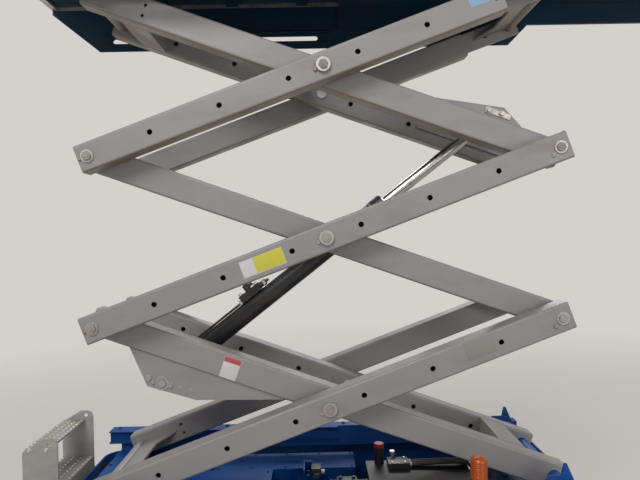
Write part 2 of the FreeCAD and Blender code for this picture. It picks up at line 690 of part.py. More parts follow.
def tray_covers():
    """Lids and walls of the two battery trays, and the plate between them."""
    low = FLOOR_Z + SHEET
    under = TRAY_TOP - SHEET
    one_side = [
        box(tray_rear, TRAY_FRONT, TRAY_IN, TRAY_OUT, under, TRAY_TOP),
        box(tray_rear, TRAY_FRONT, TRAY_IN, TRAY_IN + SHEET, low, under),
    ]
    for x in (tray_rear, TRAY_FRONT - SHEET):
        one_side.append(box(x, x + SHEET, TRAY_IN + SHEET, TRAY_OUT, low, under))
    middle = box(rear_wall_x + SHEET, MIDDLE_COVER_FRONT, -TRAY_IN, TRAY_IN, under, TRAY_TOP)
    return sides(one_side) + [middle]


def batteries():
    inset = SHEET + TRAY_PLAY
    return sides([box(tray_rear + inset, TRAY_FRONT - inset, TRAY_IN + inset, TRAY_OUT - TRAY_PLAY,
                      FLOOR_Z + SHEET, TRAY_TOP - inset)])


def power_unit():
    """Oil tank on the spine with its filler, the pump's motor and the valve block on top."""
    x0, x1 = TANK
    top = TANK_TOP + MANIFOLD_HEIGHT
    return [
        box(x0, x1, -TANK_HALF, TANK_HALF, SPINE_TOP, TANK_TOP),
        rod_z(FILLER_R, FILLER_X, FILLER_Y, TANK_TOP, TANK_TOP + FILLER_HEIGHT),
        rod_x(MOTOR_R, x0 - MOTOR_LENGTH, x0, 0, SPINE_TOP + MOTOR_R),
        box(MANIFOLD[0], MANIFOLD[1], HOSE_Y[0] - 15, HOSE_Y[-1] + 15, TANK_TOP, top),
    ]


def hose(y):
    """From the valve block forward over the tank, then down to the spine."""
    z = TANK_TOP + MANIFOLD_HEIGHT / 2
    corner_x = HOSE_DROP_X - HOSE_BEND
    corner_z = z - HOSE_BEND
    across = rod_x(HOSE_R, MANIFOLD[1], corner_x, y, z)
    down = rod_z(HOSE_R, HOSE_DROP_X, y, SPINE_TOP, corner_z)
    circle = Part.Wire(Part.makeCircle(HOSE_R, Vector(corner_x, y, z), Vector(1, 0, 0)))
    bend = Part.Face(circle).revolve(Vector(corner_x, y, corner_z), Vector(0, 1, 0), 90)
    return fuse([across, bend, down])


def pivot_brackets():
    """Upright plates inside the side plates and the cross shaft that inner frame 1 turns on."""
    foot = WHEEL_DECK_Z + SHEET
    y0 = SIDE_IN - BRACKET_T
    outline = [(-115, foot), (-115, PIVOT_Z - 20), (-75, PIVOT_Z + 61), (-25, PIVOT_Z + 61), (-14, PIVOT_Z + 107),
               (-4, PIVOT_Z + 107), (37, PIVOT_Z + 10), (55, foot)]
    plate = plate_xz([(PIVOT_X + x, z) for x, z in outline], y0, SIDE_IN)
    return sides([plate]) + [rod_y(SHAFT_R, PIVOT_X, -y0, y0, PIVOT_Z)]


def rear_axle():
    flange_out = WHEEL_OUT - FLANGE_INSET
    reach = flange_out - FLANGE_T / 2
    tube = rod_y(AXLE_R, rear_axle_x, -reach, reach, TYRE_R)
    flanges = [rod_y(FLANGE_R, rear_axle_x, flange_out - FLANGE_T, flange_out, TYRE_R),
               rod_y(SPINDLE_R, rear_axle_x, flange_out, spindle_end, TYRE_R)]
    return fuse([tube] + sides(flanges))


def front_axle():
    inner_end = kingpin_y - BEAM_END
    radius = KNUCKLE_R + 2
    beam = box(FRONT_AXLE_X - BEAM_HALF, FRONT_AXLE_X + BEAM_HALF, -inner_end, inner_end, BEAM_LOW, BEAM_HIGH)
    ends = [
        box(FRONT_AXLE_X - radius, FRONT_AXLE_X + radius, inner_end, kingpin_y, BEAM_LOW, BEAM_HIGH),
        rod_z(radius, FRONT_AXLE_X, kingpin_y, BEAM_LOW, BEAM_HIGH),
        rod_z(KINGPIN_R, FRONT_AXLE_X, kingpin_y, kingpin_low, kingpin_high),
    ]
    return [beam] + sides([fuse(ends)])


def knuckle():
    """Left knuckle: two lugs, a plate behind the wheel, drive motor, spindle and steering arm."""
    x, y, r = FRONT_AXLE_X, kingpin_y, KNUCKLE_R
    back = WHEEL_OUT - BACK_PLATE_INSET
    lug_low, lug_high = BEAM_LOW - KNUCKLE_PLAY, BEAM_HIGH + KNUCKLE_PLAY
    arm_top = kingpin_low + BACK_PLATE_T
    pieces = [
        rod_z(r, x, y, lug_high, kingpin_high).fuse(box(x - r, x + r, y, back, lug_high, kingpin_high)),
        rod_z(r, x, y, kingpin_low, lug_low).fuse(box(x - r, x + r, y, back, kingpin_low, lug_low)),
        box(x - 1.5 * r, x + 1.5 * r, back - BACK_PLATE_T, back, kingpin_low, kingpin_high),
        rod_y(MOTOR_FACE_R, x, back, back + MOTOR_FACE_T, TYRE_R),
        rod_y(SPINDLE_R, x, back + MOTOR_FACE_T, spindle_end, TYRE_R),
        box(x, x + STEER_ARM, y - 12, y + 12, kingpin_low, arm_top),
        rod_z(16, x + STEER_ARM, y, kingpin_low, arm_top),
    ]
    bores = [rod_z(KINGPIN_R + PIN_CLEAR, x, y, kingpin_low - 1, kingpin_high + 1),
             rod_z(8 + PIN_CLEAR, x + STEER_ARM, y, kingpin_low - 1, arm_top + 1)]
    return fuse(pieces).cut(bores)


def tie_rod():
    x, y = FRONT_AXLE_X + STEER_ARM, kingpin_y
    bar = rod_y(11, x, -y, y, 149)
    ends = sides([rod_z(15, x, y, 137, 161), rod_z(8, x, y, 124, 150)])
    return fuse([bar] + ends)


def ring_y(profile, x, z):
    """Turn a profile of (radius, y) points about the wheel's axle."""
    corners = [Vector(x + r, y, z) for r, y in profile]
    face = Part.Face(Part.makePolygon(corners + corners[:1]))
    return face.revolve(Vector(x, 0, z), Vector(0, 1, 0), 360)


def tyre(x):
    y1 = WHEEL_OUT
    y0 = y1 - TYRE_WIDTH
    profile = [(TYRE_BORE_R, y0 + 12), (TYRE_R - 22, y0), (TYRE_R - 6, y0 + 8), (TYRE_R, y0 + 22),
               (TYRE_R, y1 - 22), (TYRE_R - 6, y1 - 8), (TYRE_R - 22, y1), (TYRE_BORE_R, y1 - 12)]
    return ring_y(profile, x, TYRE_R)


def rim(x):
    y1 = WHEEL_OUT - 12
    y0 = WHEEL_OUT - TYRE_WIDTH + 12
    bore = SPINDLE_R + PIN_CLEAR
    band = TYRE_BORE_R - RIM_T
    hub_back, hub_front = WHEEL_OUT - HUB_BACK, WHEEL_OUT - HUB_FRONT
    disc_back, disc_front = WHEEL_OUT - DISC_BACK, WHEEL_OUT - DISC_FRONT
    profile = [(bore, hub_back), (HUB_R, hub_back), (HUB_R, disc_back - DISC_DISH), (band, disc_back), (band, y0),
               (TYRE_BORE_R, y0), (TYRE_BORE_R, y1), (band, y1),
               (band, disc_front), (HUB_R, disc_front - DISC_DISH), (HUB_R, hub_front), (bore, hub_front)]
    return ring_y(profile, x, TYRE_R)


def side_cover():
    """Left side cover, a shallow pan hinged at its front edge."""
    rear = rear_wall_x + COVER_REAR_GAP
    outer = box(rear, COVER_FRONT, cover_in, cover_out, COVER_LOW, COVER_HIGH)
    far = cover_out - 1
    outer = outer.makeFillet(COVER_CORNER, [e for e in outer.Edges if along_x(e) and e.Vertexes[0].Point.y > far])
    t = COVER_SHEET
    pan = outer.cut(box(rear + t, COVER_FRONT - t, cover_in - 1, cover_out - t, COVER_LOW + t, COVER_HIGH - t))
    hinge = rod_z(HINGE_R, HINGE_X, hinge_y, COVER_LOW, COVER_HIGH)
    leaf = box(COVER_FRONT - HINGE_PIN_R, HINGE_X, hinge_y - 6, hinge_y + 6, COVER_LOW, COVER_HIGH)
    pin_hole = rod_z(HINGE_PIN_R + PIN_CLEAR, HINGE_X, hinge_y, COVER_LOW - 1, COVER_HIGH + 1)
    return fuse([pan, leaf, hinge]).cut(pin_hole)


def cover_hinges():
    """Lugs and pin that carry the left cover."""
    x0, x1 = HINGE_X - HINGE_LUG, HINGE_X + HINGE_LUG
    edge = hinge_y + HINGE_LUG
    low, high = FLOOR_Z + SHEET, SIDE_BOTTOM - SHEET
    pieces = [
        box(x0, x1, FLOOR_HALF, edge, FLOOR_Z, low),
        box(x0, x1, side_out, edge, high, SIDE_BOTTOM),
        rod_z(HINGE_PIN_R, HINGE_X, hinge_y, low, high),
    ]
    return sides([fuse(pieces)])


def ladder():
    """Two side plates with tabs against the rear wall, and three treads."""
    front = chassis_rear - END_WALL_T - LADDER_GAP
    back = front - LADDER_DEPTH
    outline = [(front, LADDER_LOW), (front, LADDER_TOP - 24), (front - 7, LADDER_TOP - 7), (front - 22, LADDER_TOP),
               (front - 57, LADDER_TOP), (back + 5, LADDER_TOP - 50), (back, LADDER_TOP - 60), (back, LADDER_LOW)]
    out = LADDER_IN + LADDER_T
    stringer = plate_xz(outline, LADDER_IN, out)
    tabs = [box(front, front + LADDER_GAP, LADDER_IN, out, z, z + 30) for z in (LADDER_LOW + 20, END_WALL_TOP - 46)]
    stringer = fuse([stringer] + tabs).cut(rod_y(9, front - 33, LADDER_IN - 1, out + 1, LADDER_TOP - 21))
    treads = [box(front - TREAD_DEPTH, front, -LADDER_IN, LADDER_IN, z, z + TREAD_SHEET) for z in (LOW_TREAD, MIDDLE_TREAD)]
    treads.append(box(front - TREAD_DEPTH, front - TOP_TREAD_GAP, -LADDER_IN, LADDER_IN,
                      TOP_TREAD, TOP_TREAD + TREAD_SHEET))
    return sides([stringer]), treads


def beacon():
    lens_low = chassis_top + BEACON_BASE
    base = rod_z(BEACON_R, BEACON_X, BEACON_Y, chassis_top, lens_low)
    lens = rod_z(BEACON_R - 8, BEACON_X, BEACON_Y, lens_low, chassis_top + BEACON_HEIGHT)
    return fuse([base, lens])


def skirt():
    low, high = top_z + SKIRT_BOTTOM, top_z + SKIRT_TOP
    skirt_rear = slide_back - SKIRT_REACH
    rear_z = low + (skirt_rear - platform_rear) * SKIRT_REAR_SLOPE
    front_z = low + (PLATFORM_FRONT - SKIRT_FRONT) * SKIRT_FRONT_SLOPE
    outline = [(skirt_rear, low), (SKIRT_FRONT, low), (PLATFORM_FRONT, front_z), (PLATFORM_FRONT, high),
               (platform_rear, high), (platform_rear, rear_z)]
    plate = plate_xz(outline, SKIRT_IN, skirt_out)
    slot = [box(slide_back, slide_front, SKIRT_IN - 1, skirt_out + 1, top_z - SLOT_R, top_z + SLOT_R)]
    slot += [rod_y(SLOT_R, x, SKIRT_IN - 1, skirt_out + 1, top_z) for x in (slide_back, slide_front)]
    return plate.cut(slot).cut(rod_y(PIN_R, PIVOT_X, SKIRT_IN - 1, skirt_out + 1, top_z))


def platform_frame():
    """Side skirts with the slots, the upper slide channels and the bosses of the fixed pivots."""
    rails = channel(SKIRT_IN, RAIL_IN, top_z, slide_back - BLOCK_HALF_X - 10, slide_front + BLOCK_HALF_X + 30)
    boss = rod_y(34, PIVOT_X, outer_in + END_PLATE_T + 1.5, SKIRT_IN, top_z)
    pin = rod_y(PIN_R, PIVOT_X, outer_in, skirt_out + 4, top_z)
    runner_z = top_z + EXT_BEAM_BOTTOM - RUNNER_PLAY
    runner = box(-600, SKIRT_FRONT, EXT_BEAM_IN + 4, SKIRT_IN, runner_z - RUNNER_T, runner_z)
    return sides([skirt(), fuse([boss, pin]), runner] + rails)


def platform_deck():
    """Deck sheet with its raised tread sheet, on box edges along both sides and across the rear."""
    low, under = top_z + SKIRT_TOP, deck_z - DECK_SHEET
    return [
        box(platform_rear, PLATFORM_FRONT, -platform_half, platform_half, under, deck_z),
        box(platform_rear + TREAD_MARGIN, PLATFORM_FRONT - TREAD_MARGIN, -TREAD_HALF, TREAD_HALF,
            deck_z, deck_z + TREAD_T),
        box(platform_rear, platform_rear + 30, -SKIRT_IN, SKIRT_IN, low, under),
    ] + sides([box(platform_rear, PLATFORM_FRONT, SKIRT_IN, platform_half, low, under)])


def split(shapes, tools):
    """Each shape less the tools, as separate solids."""
    solids = []
    for shape in shapes:
        solids += shape.cut(tools).Solids
    return solids


def guard_side():
    """Posts, top rail and middle rail of one side of the main deck, and the hoop beside the gate."""
    r = RAIL_TUBE_R
    y = platform_half - r - 2
    x0, x1 = post_x[0], post_x[-1]
    middle_z = deck_z + RAIL_HEIGHT / 2
    top = fuse([rod_x(r, x0, x1, y, rail_top), Part.makeSphere(r, Vector(x0, y, rail_top)),
                Part.makeSphere(r, Vector(x1, y, rail_top))])
    posts = split([rod_z(r, x, y, deck_z, rail_top) for x in post_x], [top])
    middle = split([rod_x(r - 3, x0, x1, y, middle_z)], posts)
    hoop = fuse([rod_z(r, x0, GATE_POST_Y, deck_z, rail_top), Part.makeSphere(r, Vector(x0, GATE_POST_Y, rail_top)),
                 rod_y(r, x0, GATE_POST_Y, y - 1, rail_top), rod_y(r - 3, x0, GATE_POST_Y, y, middle_z)])
    hoop = max(split([hoop], [top, posts[0]] + middle), key=lambda solid: solid.Volume)
    return posts, [top] + middle, hoop


def gate_hinge_lugs():
    lugs = []
    for z in gate_hinge_z:
        lugs.append(box(post_x[0] - 6, post_x[0] + 6, -GATE_POST_Y, -gate_axis_y, z - GATE_LUG, z))
        lugs.append(rod_z(GATE_LUG_R, post_x[0], -gate_axis_y, z - GATE_LUG, z))
        lugs.append(rod_z(GATE_PIN_R, post_x[0], -gate_axis_y, z, z + GATE_LUG))
    return lugs


def toe_boards():
    one_side = box(platform_rear + 46, PLATFORM_FRONT - 46, platform_half - 42, platform_half - 39.5,
                   deck_z, deck_z + TOE_HEIGHT)
    return sides([one_side])


def rear_gate():
    """Gate between the two rear posts, hinged on the right one, with a toe plate and a latch bar."""
    r = GATE_TUBE_R
    x = post_x[0]
    y = GATE_POST_Y - 2 * GATE_SWING_R
    low, high = deck_z + 20, rail_top - 4
    posts = [rod_z(r, x, side, low, high).fuse(Part.makeSphere(r, Vector(x, side, high))) for side in (-y, y)]
    rails = [rod_y(r, x, -y, y, z) for z in (high, deck_z + RAIL_HEIGHT / 2)]
    rails.append(box(x - 3, x + 3, -y, y, low, low + TOE_HEIGHT))
    rails = split(rails, posts)
    latch = box(x - 6, x + 6, y, GATE_POST_Y - RAIL_TUBE_R - LATCH_PLAY, high - 90, high - 60)
    lugs = [box(x - 6, x + 6, -gate_axis_y, -y, z, z + GATE_LUG) for z in gate_hinge_z]
    lugs += [rod_z(GATE_LUG_R, x, -gate_axis_y, z, z + GATE_LUG) for z in gate_hinge_z]
    bores = [rod_z(GATE_PIN_R + PIN_CLEAR, x, -gate_axis_y, z - 1, z + GATE_LUG + 1) for z in gate_hinge_z]
    return [fuse([posts[0]] + lugs).cut(bores), fuse([posts[1], latch])], rails


def extension_deck():
    z = top_z
    sheet = box(EXT_REAR, EXT_FRONT, -EXT_BEAM_IN, EXT_BEAM_IN, z + EXT_DECK_TOP - DECK_SHEET, z + EXT_DECK_TOP)
    beam = box(EXT_REAR, EXT_FRONT, EXT_BEAM_IN, EXT_BEAM_OUT, z + EXT_BEAM_BOTTOM, z + EXT_DECK_TOP)
    nose = box(EXT_FRONT - SHEET, EXT_FRONT, -EXT_BEAM_IN, EXT_BEAM_IN, z + EXT_BEAM_BOTTOM + 30, z + EXT_DECK_TOP)
    return fuse([sheet, nose] + sides([beam]))


def extension_rails():
    """Posts, rails and toe boards of the slide-out deck; the side rails reach back inside the main ones."""
    r = EXT_RAIL_R
    y = EXT_RAIL_Y - 16
    back, front = PLATFORM_FRONT - 60, EXT_FRONT - r - 4
    top = rail_top - 45
    mid = deck_z + RAIL_HEIGHT / 2 - 40
    posts = [rod_z(r, front, y, top_z + EXT_DECK_TOP, top), rod_z(r, back, y, deck_z + 30, top)]
    side_top = fuse([rod_x(r, back, front, y, top)] + [Part.makeSphere(r, Vector(x, y, top)) for x in (back, front)])
    front_top = rod_y(r - 1, front, -y, y, top)
    tops = sides([side_top])
    rails = tops + split([front_top], tops)
    rails += split([rod_y(r, front, -y, y, mid)] + sides([rod_x(r, back, front, y, mid)]), sides(posts))
    boards = [box(back, front, y - 1.5, y + 1.5, deck_z + 8, deck_z + TOE_HEIGHT)]
    front_board = box(front - 1.5, front + 1.5, -y, y, top_z + EXT_DECK_TOP, deck_z + TOE_HEIGHT)
    boards = split(sides(boards) + [front_board], sides(posts))
    return split(sides(posts), rails[:3]), rails, boards


def control_box():
    x = EXT_FRONT - EXT_RAIL_R - 4
    z = deck_z + RAIL_HEIGHT - 60
    return box(x - 150, x - EXT_RAIL_R + 1, -290, -110, z - 150, z + 40)


def save(name, shapes):
    shape = shapes if isinstance(shapes, Part.Shape) else Part.makeCompound(shapes)
    shape.exportStep(os.path.join("parts", name + ".step"))


def main():
    os.makedirs("parts", exist_ok=True)
    for pair in range(PAIRS):
        number = str(pair + 1)
        save("outer_arms_" + number, outer_arms(pair))
        save("inner_arms_" + number, inner_arms(pair))
        save("arm_pins_" + number, outer_pins(pair))
        save("inner_cross_" + number, inner_cross(pair))
    save("outer_ties_1", on_outer(end_ties(-1), 0))
    save("outer_ties_3", on_outer(end_ties(1), PAIRS - 1))
    save("cylinder_barrel", [barrel()] + valve_block())
    save("cylinder_rod", piston_rod())
    save("lower_slide_blocks", lower_slide_blocks())
    save("upper_slide_blocks", upper_slide_blocks())
    save("upper_slider_pins", upper_slider_pins())
    save("chassis_base", chassis_base())
    save("chassis_sides", chassis_sides())
    save("wheel_decks", wheel_decks())
    save("pivot_brackets", pivot_brackets())
    save("rear_axle", rear_axle())
    save("front_axle", front_axle())
    save("knuckle_left", knuckle())
    save("knuckle_right", mirrored(knuckle()))
    save("tie_rod", tie_rod())
    for end, x in (("rear", rear_axle_x), ("front", FRONT_AXLE_X)):
        save("tyre_" + end + "_left", tyre(x))
        save("tyre_" + end + "_right", mirrored(tyre(x)))
        save("rim_" + end + "_left", rim(x))
        save("rim_" + end + "_right", mirrored(rim(x)))
    save("side_cover_left", side_cover())
    save("side_cover_right", mirrored(side_cover()))
    save("cover_hinges", cover_hinges())
    save("battery_pack", batteries())
    save("tray_covers", tray_covers())
    save("power_unit", power_unit())
    save("chassis_hoses", [hose(y) for y in HOSE_Y])
    stringers, treads = ladder()
    save("ladder_sides", stringers)
    save("ladder_treads", treads)
    save("beacon", beacon())
    save("platform_frame", platform_frame())
    save("platform_deck", platform_deck())
    posts, rails, hoop = guard_side()
    save("guard_posts", sides(posts))
    save("guard_rails", sides(rails))
    save("gate_hoops", [hoop, fuse([mirrored(hoop)] + gate_hinge_lugs())])
    save("toe_boards", toe_boards())
    gate_posts, gate_rails = rear_gate()
    save("gate_posts", gate_posts)
    save("gate_rails", gate_rails)
    save("extension_deck", extension_deck())
    posts, rails, boards = extension_rails()
    save("extension_posts", posts)
    save("extension_rails", rails)
    save("extension_boards", boards)
    save("control_box", control_box())
    print("parts written:", len(os.listdir("parts")))
    print("slider from", round(slide_back, 1), "to", round(slide_front, 1), "at rest", round(slider_x, 1))
    print("cylinder length", round(cylinder_length(), 1), "lower pin", from_inner(CYL_LOW_X, CYL_LOW_Z, 0))


main()
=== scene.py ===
import json
import math

import bmesh
import bpy
from mathutils import Matrix, Vector

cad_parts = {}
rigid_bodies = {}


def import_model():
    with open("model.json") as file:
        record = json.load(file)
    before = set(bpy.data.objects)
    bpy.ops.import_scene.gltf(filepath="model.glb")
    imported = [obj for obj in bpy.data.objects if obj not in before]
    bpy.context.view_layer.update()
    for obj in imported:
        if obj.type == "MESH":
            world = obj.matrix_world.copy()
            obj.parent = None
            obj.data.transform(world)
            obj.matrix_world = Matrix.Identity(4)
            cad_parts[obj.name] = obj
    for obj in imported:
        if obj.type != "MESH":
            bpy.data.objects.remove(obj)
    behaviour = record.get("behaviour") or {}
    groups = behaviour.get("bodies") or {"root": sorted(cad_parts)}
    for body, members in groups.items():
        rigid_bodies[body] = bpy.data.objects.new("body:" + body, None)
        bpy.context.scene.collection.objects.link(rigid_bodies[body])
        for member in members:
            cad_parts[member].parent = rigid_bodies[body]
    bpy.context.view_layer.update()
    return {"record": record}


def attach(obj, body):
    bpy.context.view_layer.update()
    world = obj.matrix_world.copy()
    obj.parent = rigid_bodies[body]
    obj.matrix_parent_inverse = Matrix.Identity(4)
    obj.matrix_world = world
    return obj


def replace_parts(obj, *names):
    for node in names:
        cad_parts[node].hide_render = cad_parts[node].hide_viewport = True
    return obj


# Scissor lift, seen from its right side with the stack partly raised. Metres, +X front, +Y left, +Z up.

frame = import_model()

# Camera at the picture's own place, in metres, radians and pixels
CAMERA = (-0.3757, -2.3439, 1.4865)
YAW = 0.0091
PITCH = -0.0169
ROLL = -0.0205
FOCAL_PX = 525.8
IMAGE_WIDTH = 640
SENSOR_WIDTH = 36.0

# Stack in metres: arm between its end pins, its slope, and its front pivot on the chassis
ARM_LENGTH = 1.95
ANGLE = math.radians(20)
PIVOT_X = 0.585
PIVOT_Z = 0.46
RISE = ARM_LENGTH * math.sin(ANGLE)
CENTRE_X = PIVOT_X - ARM_LENGTH * math.cos(ANGLE) / 2

# Sizes shared by the pieces, in millimetres: X and Z in the object's frame, faces from its middle plane
MM = Matrix.Scale(0.001, 4)
HALF_ARM = 500 * ARM_LENGTH
OUTER_FACE = 306.0
INNER_FACE = 210.0
INNER_IN = 128.0
GUSSET_FACE = 206.0
LOWER_PIN = (-668.5, -151.0)
UPPER_PIN = (721.0, 61.0)
TOP_Z = 1000 * (PIVOT_Z + RISE * 3)
DECK_Z = TOP_Z + 182
PLATFORM_REAR = -1672.0
PLATFORM_FRONT = 782.0
POST_Y = 375.0
SKIRT_FACE = 336.0
SHEET_HALF = 328.0
EXTENSION_Y = 314.0
EXTENSION_FACE = 326.0
EXTENSION_Z = TOP_Z + 150
REAR_AXLE_X = -1235.0
FRONT_AXLE_X = 595.0
AXLE_Z = 190.5
TYRE_IN = 278.0
TYRE_OUT = 405.0
CHASSIS_TOP = 490.0
PAN_TOP = 394.0
TRAY_TOP = 356.0
COVER_FACE = 400.0
BRACKET_FACE = 324.0
REAR_WALL_X = -1448.0
FRONT_WALL_X = 760.0
BLOCK_TOP = 397.0
HOSE_Y = (40, 58, 76)
LADDER_FRONT = -1458.0
LADDER_BACK = -1605.0
LADDER_SIDE = 176.0
TREADS = (258, 433, 608)
BEACON_X = 230.0
BEACON_Y = -362.0

# Directions
UP = (0, 0, 1)
FRONT = (1, 0, 0)
REAR = (-1, 0, 0)


def feed(tree, node, inputs):
    """Link each input to a socket or set it to a value, with colours given without their alpha."""
    for key, value in inputs.items():
        socket = node.inputs[key]
        if isinstance(value, bpy.types.NodeSocket):
            tree.links.new(value, socket)
        elif socket.type == "RGBA":
            socket.default_value = (*value, 1)
        else:
            socket.default_value = value
    return node


def add_node(tree, kind, inputs):
    return feed(tree, tree.nodes.new(kind), inputs)


def node_tree(name):
    """New material, with its tree and its shader."""
    material = bpy.data.materials.new(name)
    material.use_nodes = True
    tree = material.node_tree
    tree.nodes.clear()
    shader = tree.nodes.new("ShaderNodeBsdfPrincipled")
    add_node(tree, "ShaderNodeOutputMaterial", {"Surface": shader.outputs["BSDF"]})
    return material, tree, shader


def position(tree, scale=(1, 1, 1)):
    coords = tree.nodes.new("ShaderNodeTexCoord")
    mapping = add_node(tree, "ShaderNodeMapping", {"Vector": coords.outputs["Object"], "Scale": scale})
    return mapping.outputs["Vector"]


def noise(tree, vector, scale, detail, rough=0.55):
    inputs = {"Vector": vector, "Scale": scale, "Detail": detail, "Roughness": rough}
    return add_node(tree, "ShaderNodeTexNoise", inputs).outputs["Fac"]


def ramp(tree, value, start, low, end, high):
    """Blend from low at start to high at end, where a plain number stands for a grey."""
    node = add_node(tree, "ShaderNodeValToRGB", {"Fac": value})
    for element, place, level in zip(node.color_ramp.elements, (start, end), (low, high)):
        element.position = place
        element.color = (*level, 1) if isinstance(level, tuple) else (level, level, level, 1)
    return node.outputs["Color"]


def mix(tree, factor, first, second):
    node = tree.nodes.new("ShaderNodeMix")
    node.data_type = "RGBA"
    feed(tree, node, {"Factor": factor, 6: first, 7: second})
    return node.outputs[2]


def bump(tree, shader, height, strength, distance):
    node = add_node(tree, "ShaderNodeBump", {"Height": height, "Strength": strength, "Distance": distance})
    tree.links.new(node.outputs["Normal"], shader.inputs["Normal"])


RUST = (0.16, 0.06, 0.02)
DUST = (0.3, 0.28, 0.25)


def worn_paint(name, base, dirt, dirt_from=0.5, dirt_most=0.75, rust_from=0.68, roughness=0.45,
               speckle=0.06, grime_and_shade=None, gloss=0.5):
    """Sprayed paint with uneven colour, smeared dirt, rust flecks, and painted shade that darkens the faces
    that look down.
    """
    material, tree, shader = node_tree(name)
    place = position(tree)
    darker = tuple(level * (1 - speckle) for level in base)
    lighter = tuple(level * (1 + speckle) for level in base)
    shade = ramp(tree, noise(tree, place, 3.0, 5.0), 0.3, darker, 0.7, lighter)
    smear = noise(tree, position(tree, (1.0, 1.0, 3.0)), 4.0, 8.0, 0.62)
    shade = mix(tree, ramp(tree, smear, dirt_from, 0, dirt_from + 0.25, dirt_most), shade, dirt)
    flecks = noise(tree, place, 38.0, 6.0, 0.7)
    shade = mix(tree, ramp(tree, flecks, rust_from, 0, rust_from + 0.06, 0.8), shade, RUST)
    # Painted shade: faces that look down are blended towards the colour given here, standing in for the
    # shade under them.
    if grime_and_shade:
        coords = tree.nodes.new("ShaderNodeTexCoord")
        down = tree.nodes.new("ShaderNodeVectorMath")
        down.operation = "DOT_PRODUCT"
        feed(tree, down, {0: coords.outputs["Normal"], 1: (0, 0, -1)})
        shade = mix(tree, ramp(tree, down.outputs["Value"], 0.35, 0, 0.9, 0.85), shade, grime_and_shade)
    rough = ramp(tree, smear, 0.3, roughness - 0.07, 0.75, roughness + 0.3)
    feed(tree, shader, {"Base Color": shade, "Roughness": rough, "Specular IOR Level": gloss})
    bump(tree, shader, noise(tree, place, 260.0, 2.0), 0.12, 0.0006)
    return material


def metal(name, base, roughness, grime_and_shade, grime_from=0.55):
    """Bare metal with smears of grime and uneven gloss."""
    material, tree, shader = node_tree(name)
    place = position(tree)
    shade = ramp(tree, noise(tree, place, 14.0, 6.0, 0.6), grime_from, base, grime_from + 0.3, grime_and_shade)
    rough = ramp(tree, noise(tree, place, 40.0, 3.0), 0.3, roughness, 0.8, roughness + 0.25)
    feed(tree, shader, {"Metallic": 1.0, "Base Color": shade, "Roughness": rough})
    bump(tree, shader, noise(tree, place, 160.0, 2.0), 0.1, 0.0005)
    return material


def plastic(name, base, roughness, dust=0.15, coat=0.0, gloss=0.5):
    """Moulded plastic, rubber or film with a little dust."""
    material, tree, shader = node_tree(name)
    place = position(tree)
    dusty = ramp(tree, noise(tree, place, 9.0, 6.0), 0.45, 0, 0.8, dust * 2)
    shade = mix(tree, dusty, base, DUST)
    feed(tree, shader, {"Base Color": shade, "Roughness": roughness, "Coat Weight": coat,
                        "Specular IOR Level": gloss})
    bump(tree, shader, noise(tree, place, 400.0, 2.0), 0.15, 0.0004)
    return material


# In the paints, the grime colour is painted shade on faces that look down; in the metals it is real grime
# in smears.
PAINTS = {
    "arm_paint": dict(base=(0.245, 0.232, 0.23), dirt=(0.17, 0.15, 0.13), dirt_from=0.52, dirt_most=0.45,
                      rust_from=0.7, roughness=0.38, speckle=0.04, grime_and_shade=(0.16, 0.13, 0.09)),
    "chassis_paint": dict(base=(0.003, 0.06, 0.255), dirt=(0.03, 0.05, 0.075), dirt_most=0.6,
                          grime_and_shade=(0.015, 0.03, 0.05), gloss=0.25),
    "platform_paint": dict(base=(0.006, 0.032, 0.062), dirt=(0.028, 0.036, 0.04), dirt_most=0.6, gloss=0.3),
    "barrel_paint": dict(base=(0.014, 0.014, 0.015), dirt=(0.05, 0.045, 0.04), roughness=0.35),
    "rim_paint": dict(base=(0.33, 0.32, 0.31), dirt=(0.18, 0.16, 0.14)),
    "grey_steel": dict(base=(0.34, 0.335, 0.33), dirt=(0.24, 0.22, 0.19), dirt_from=0.4, roughness=0.5),
    "pin_paint": dict(base=(0.31, 0.295, 0.285), dirt=(0.16, 0.12, 0.08), rust_from=0.64),
}
METALS = {
    "pin_steel": dict(base=(0.42, 0.4, 0.38), roughness=0.38, grime_and_shade=(0.16, 0.09, 0.05)),
    "chrome_rod": dict(base=(0.5, 0.47, 0.45), roughness=0.22, grime_and_shade=(0.3, 0.26, 0.22), grime_from=0.5),
    "deck_sheet": dict(base=(0.5, 0.5, 0.5), roughness=0.42, grime_and_shade=(0.2, 0.18, 0.15)),
    "zinc": dict(base=(0.6, 0.6, 0.6), roughness=0.3, grime_and_shade=(0.3, 0.26, 0.2), grime_from=0.6),
    "tread_steel": dict(base=(0.62, 0.58, 0.52), roughness=0.5, grime_and_shade=(0.3, 0.24, 0.18), grime_from=0.5),
}
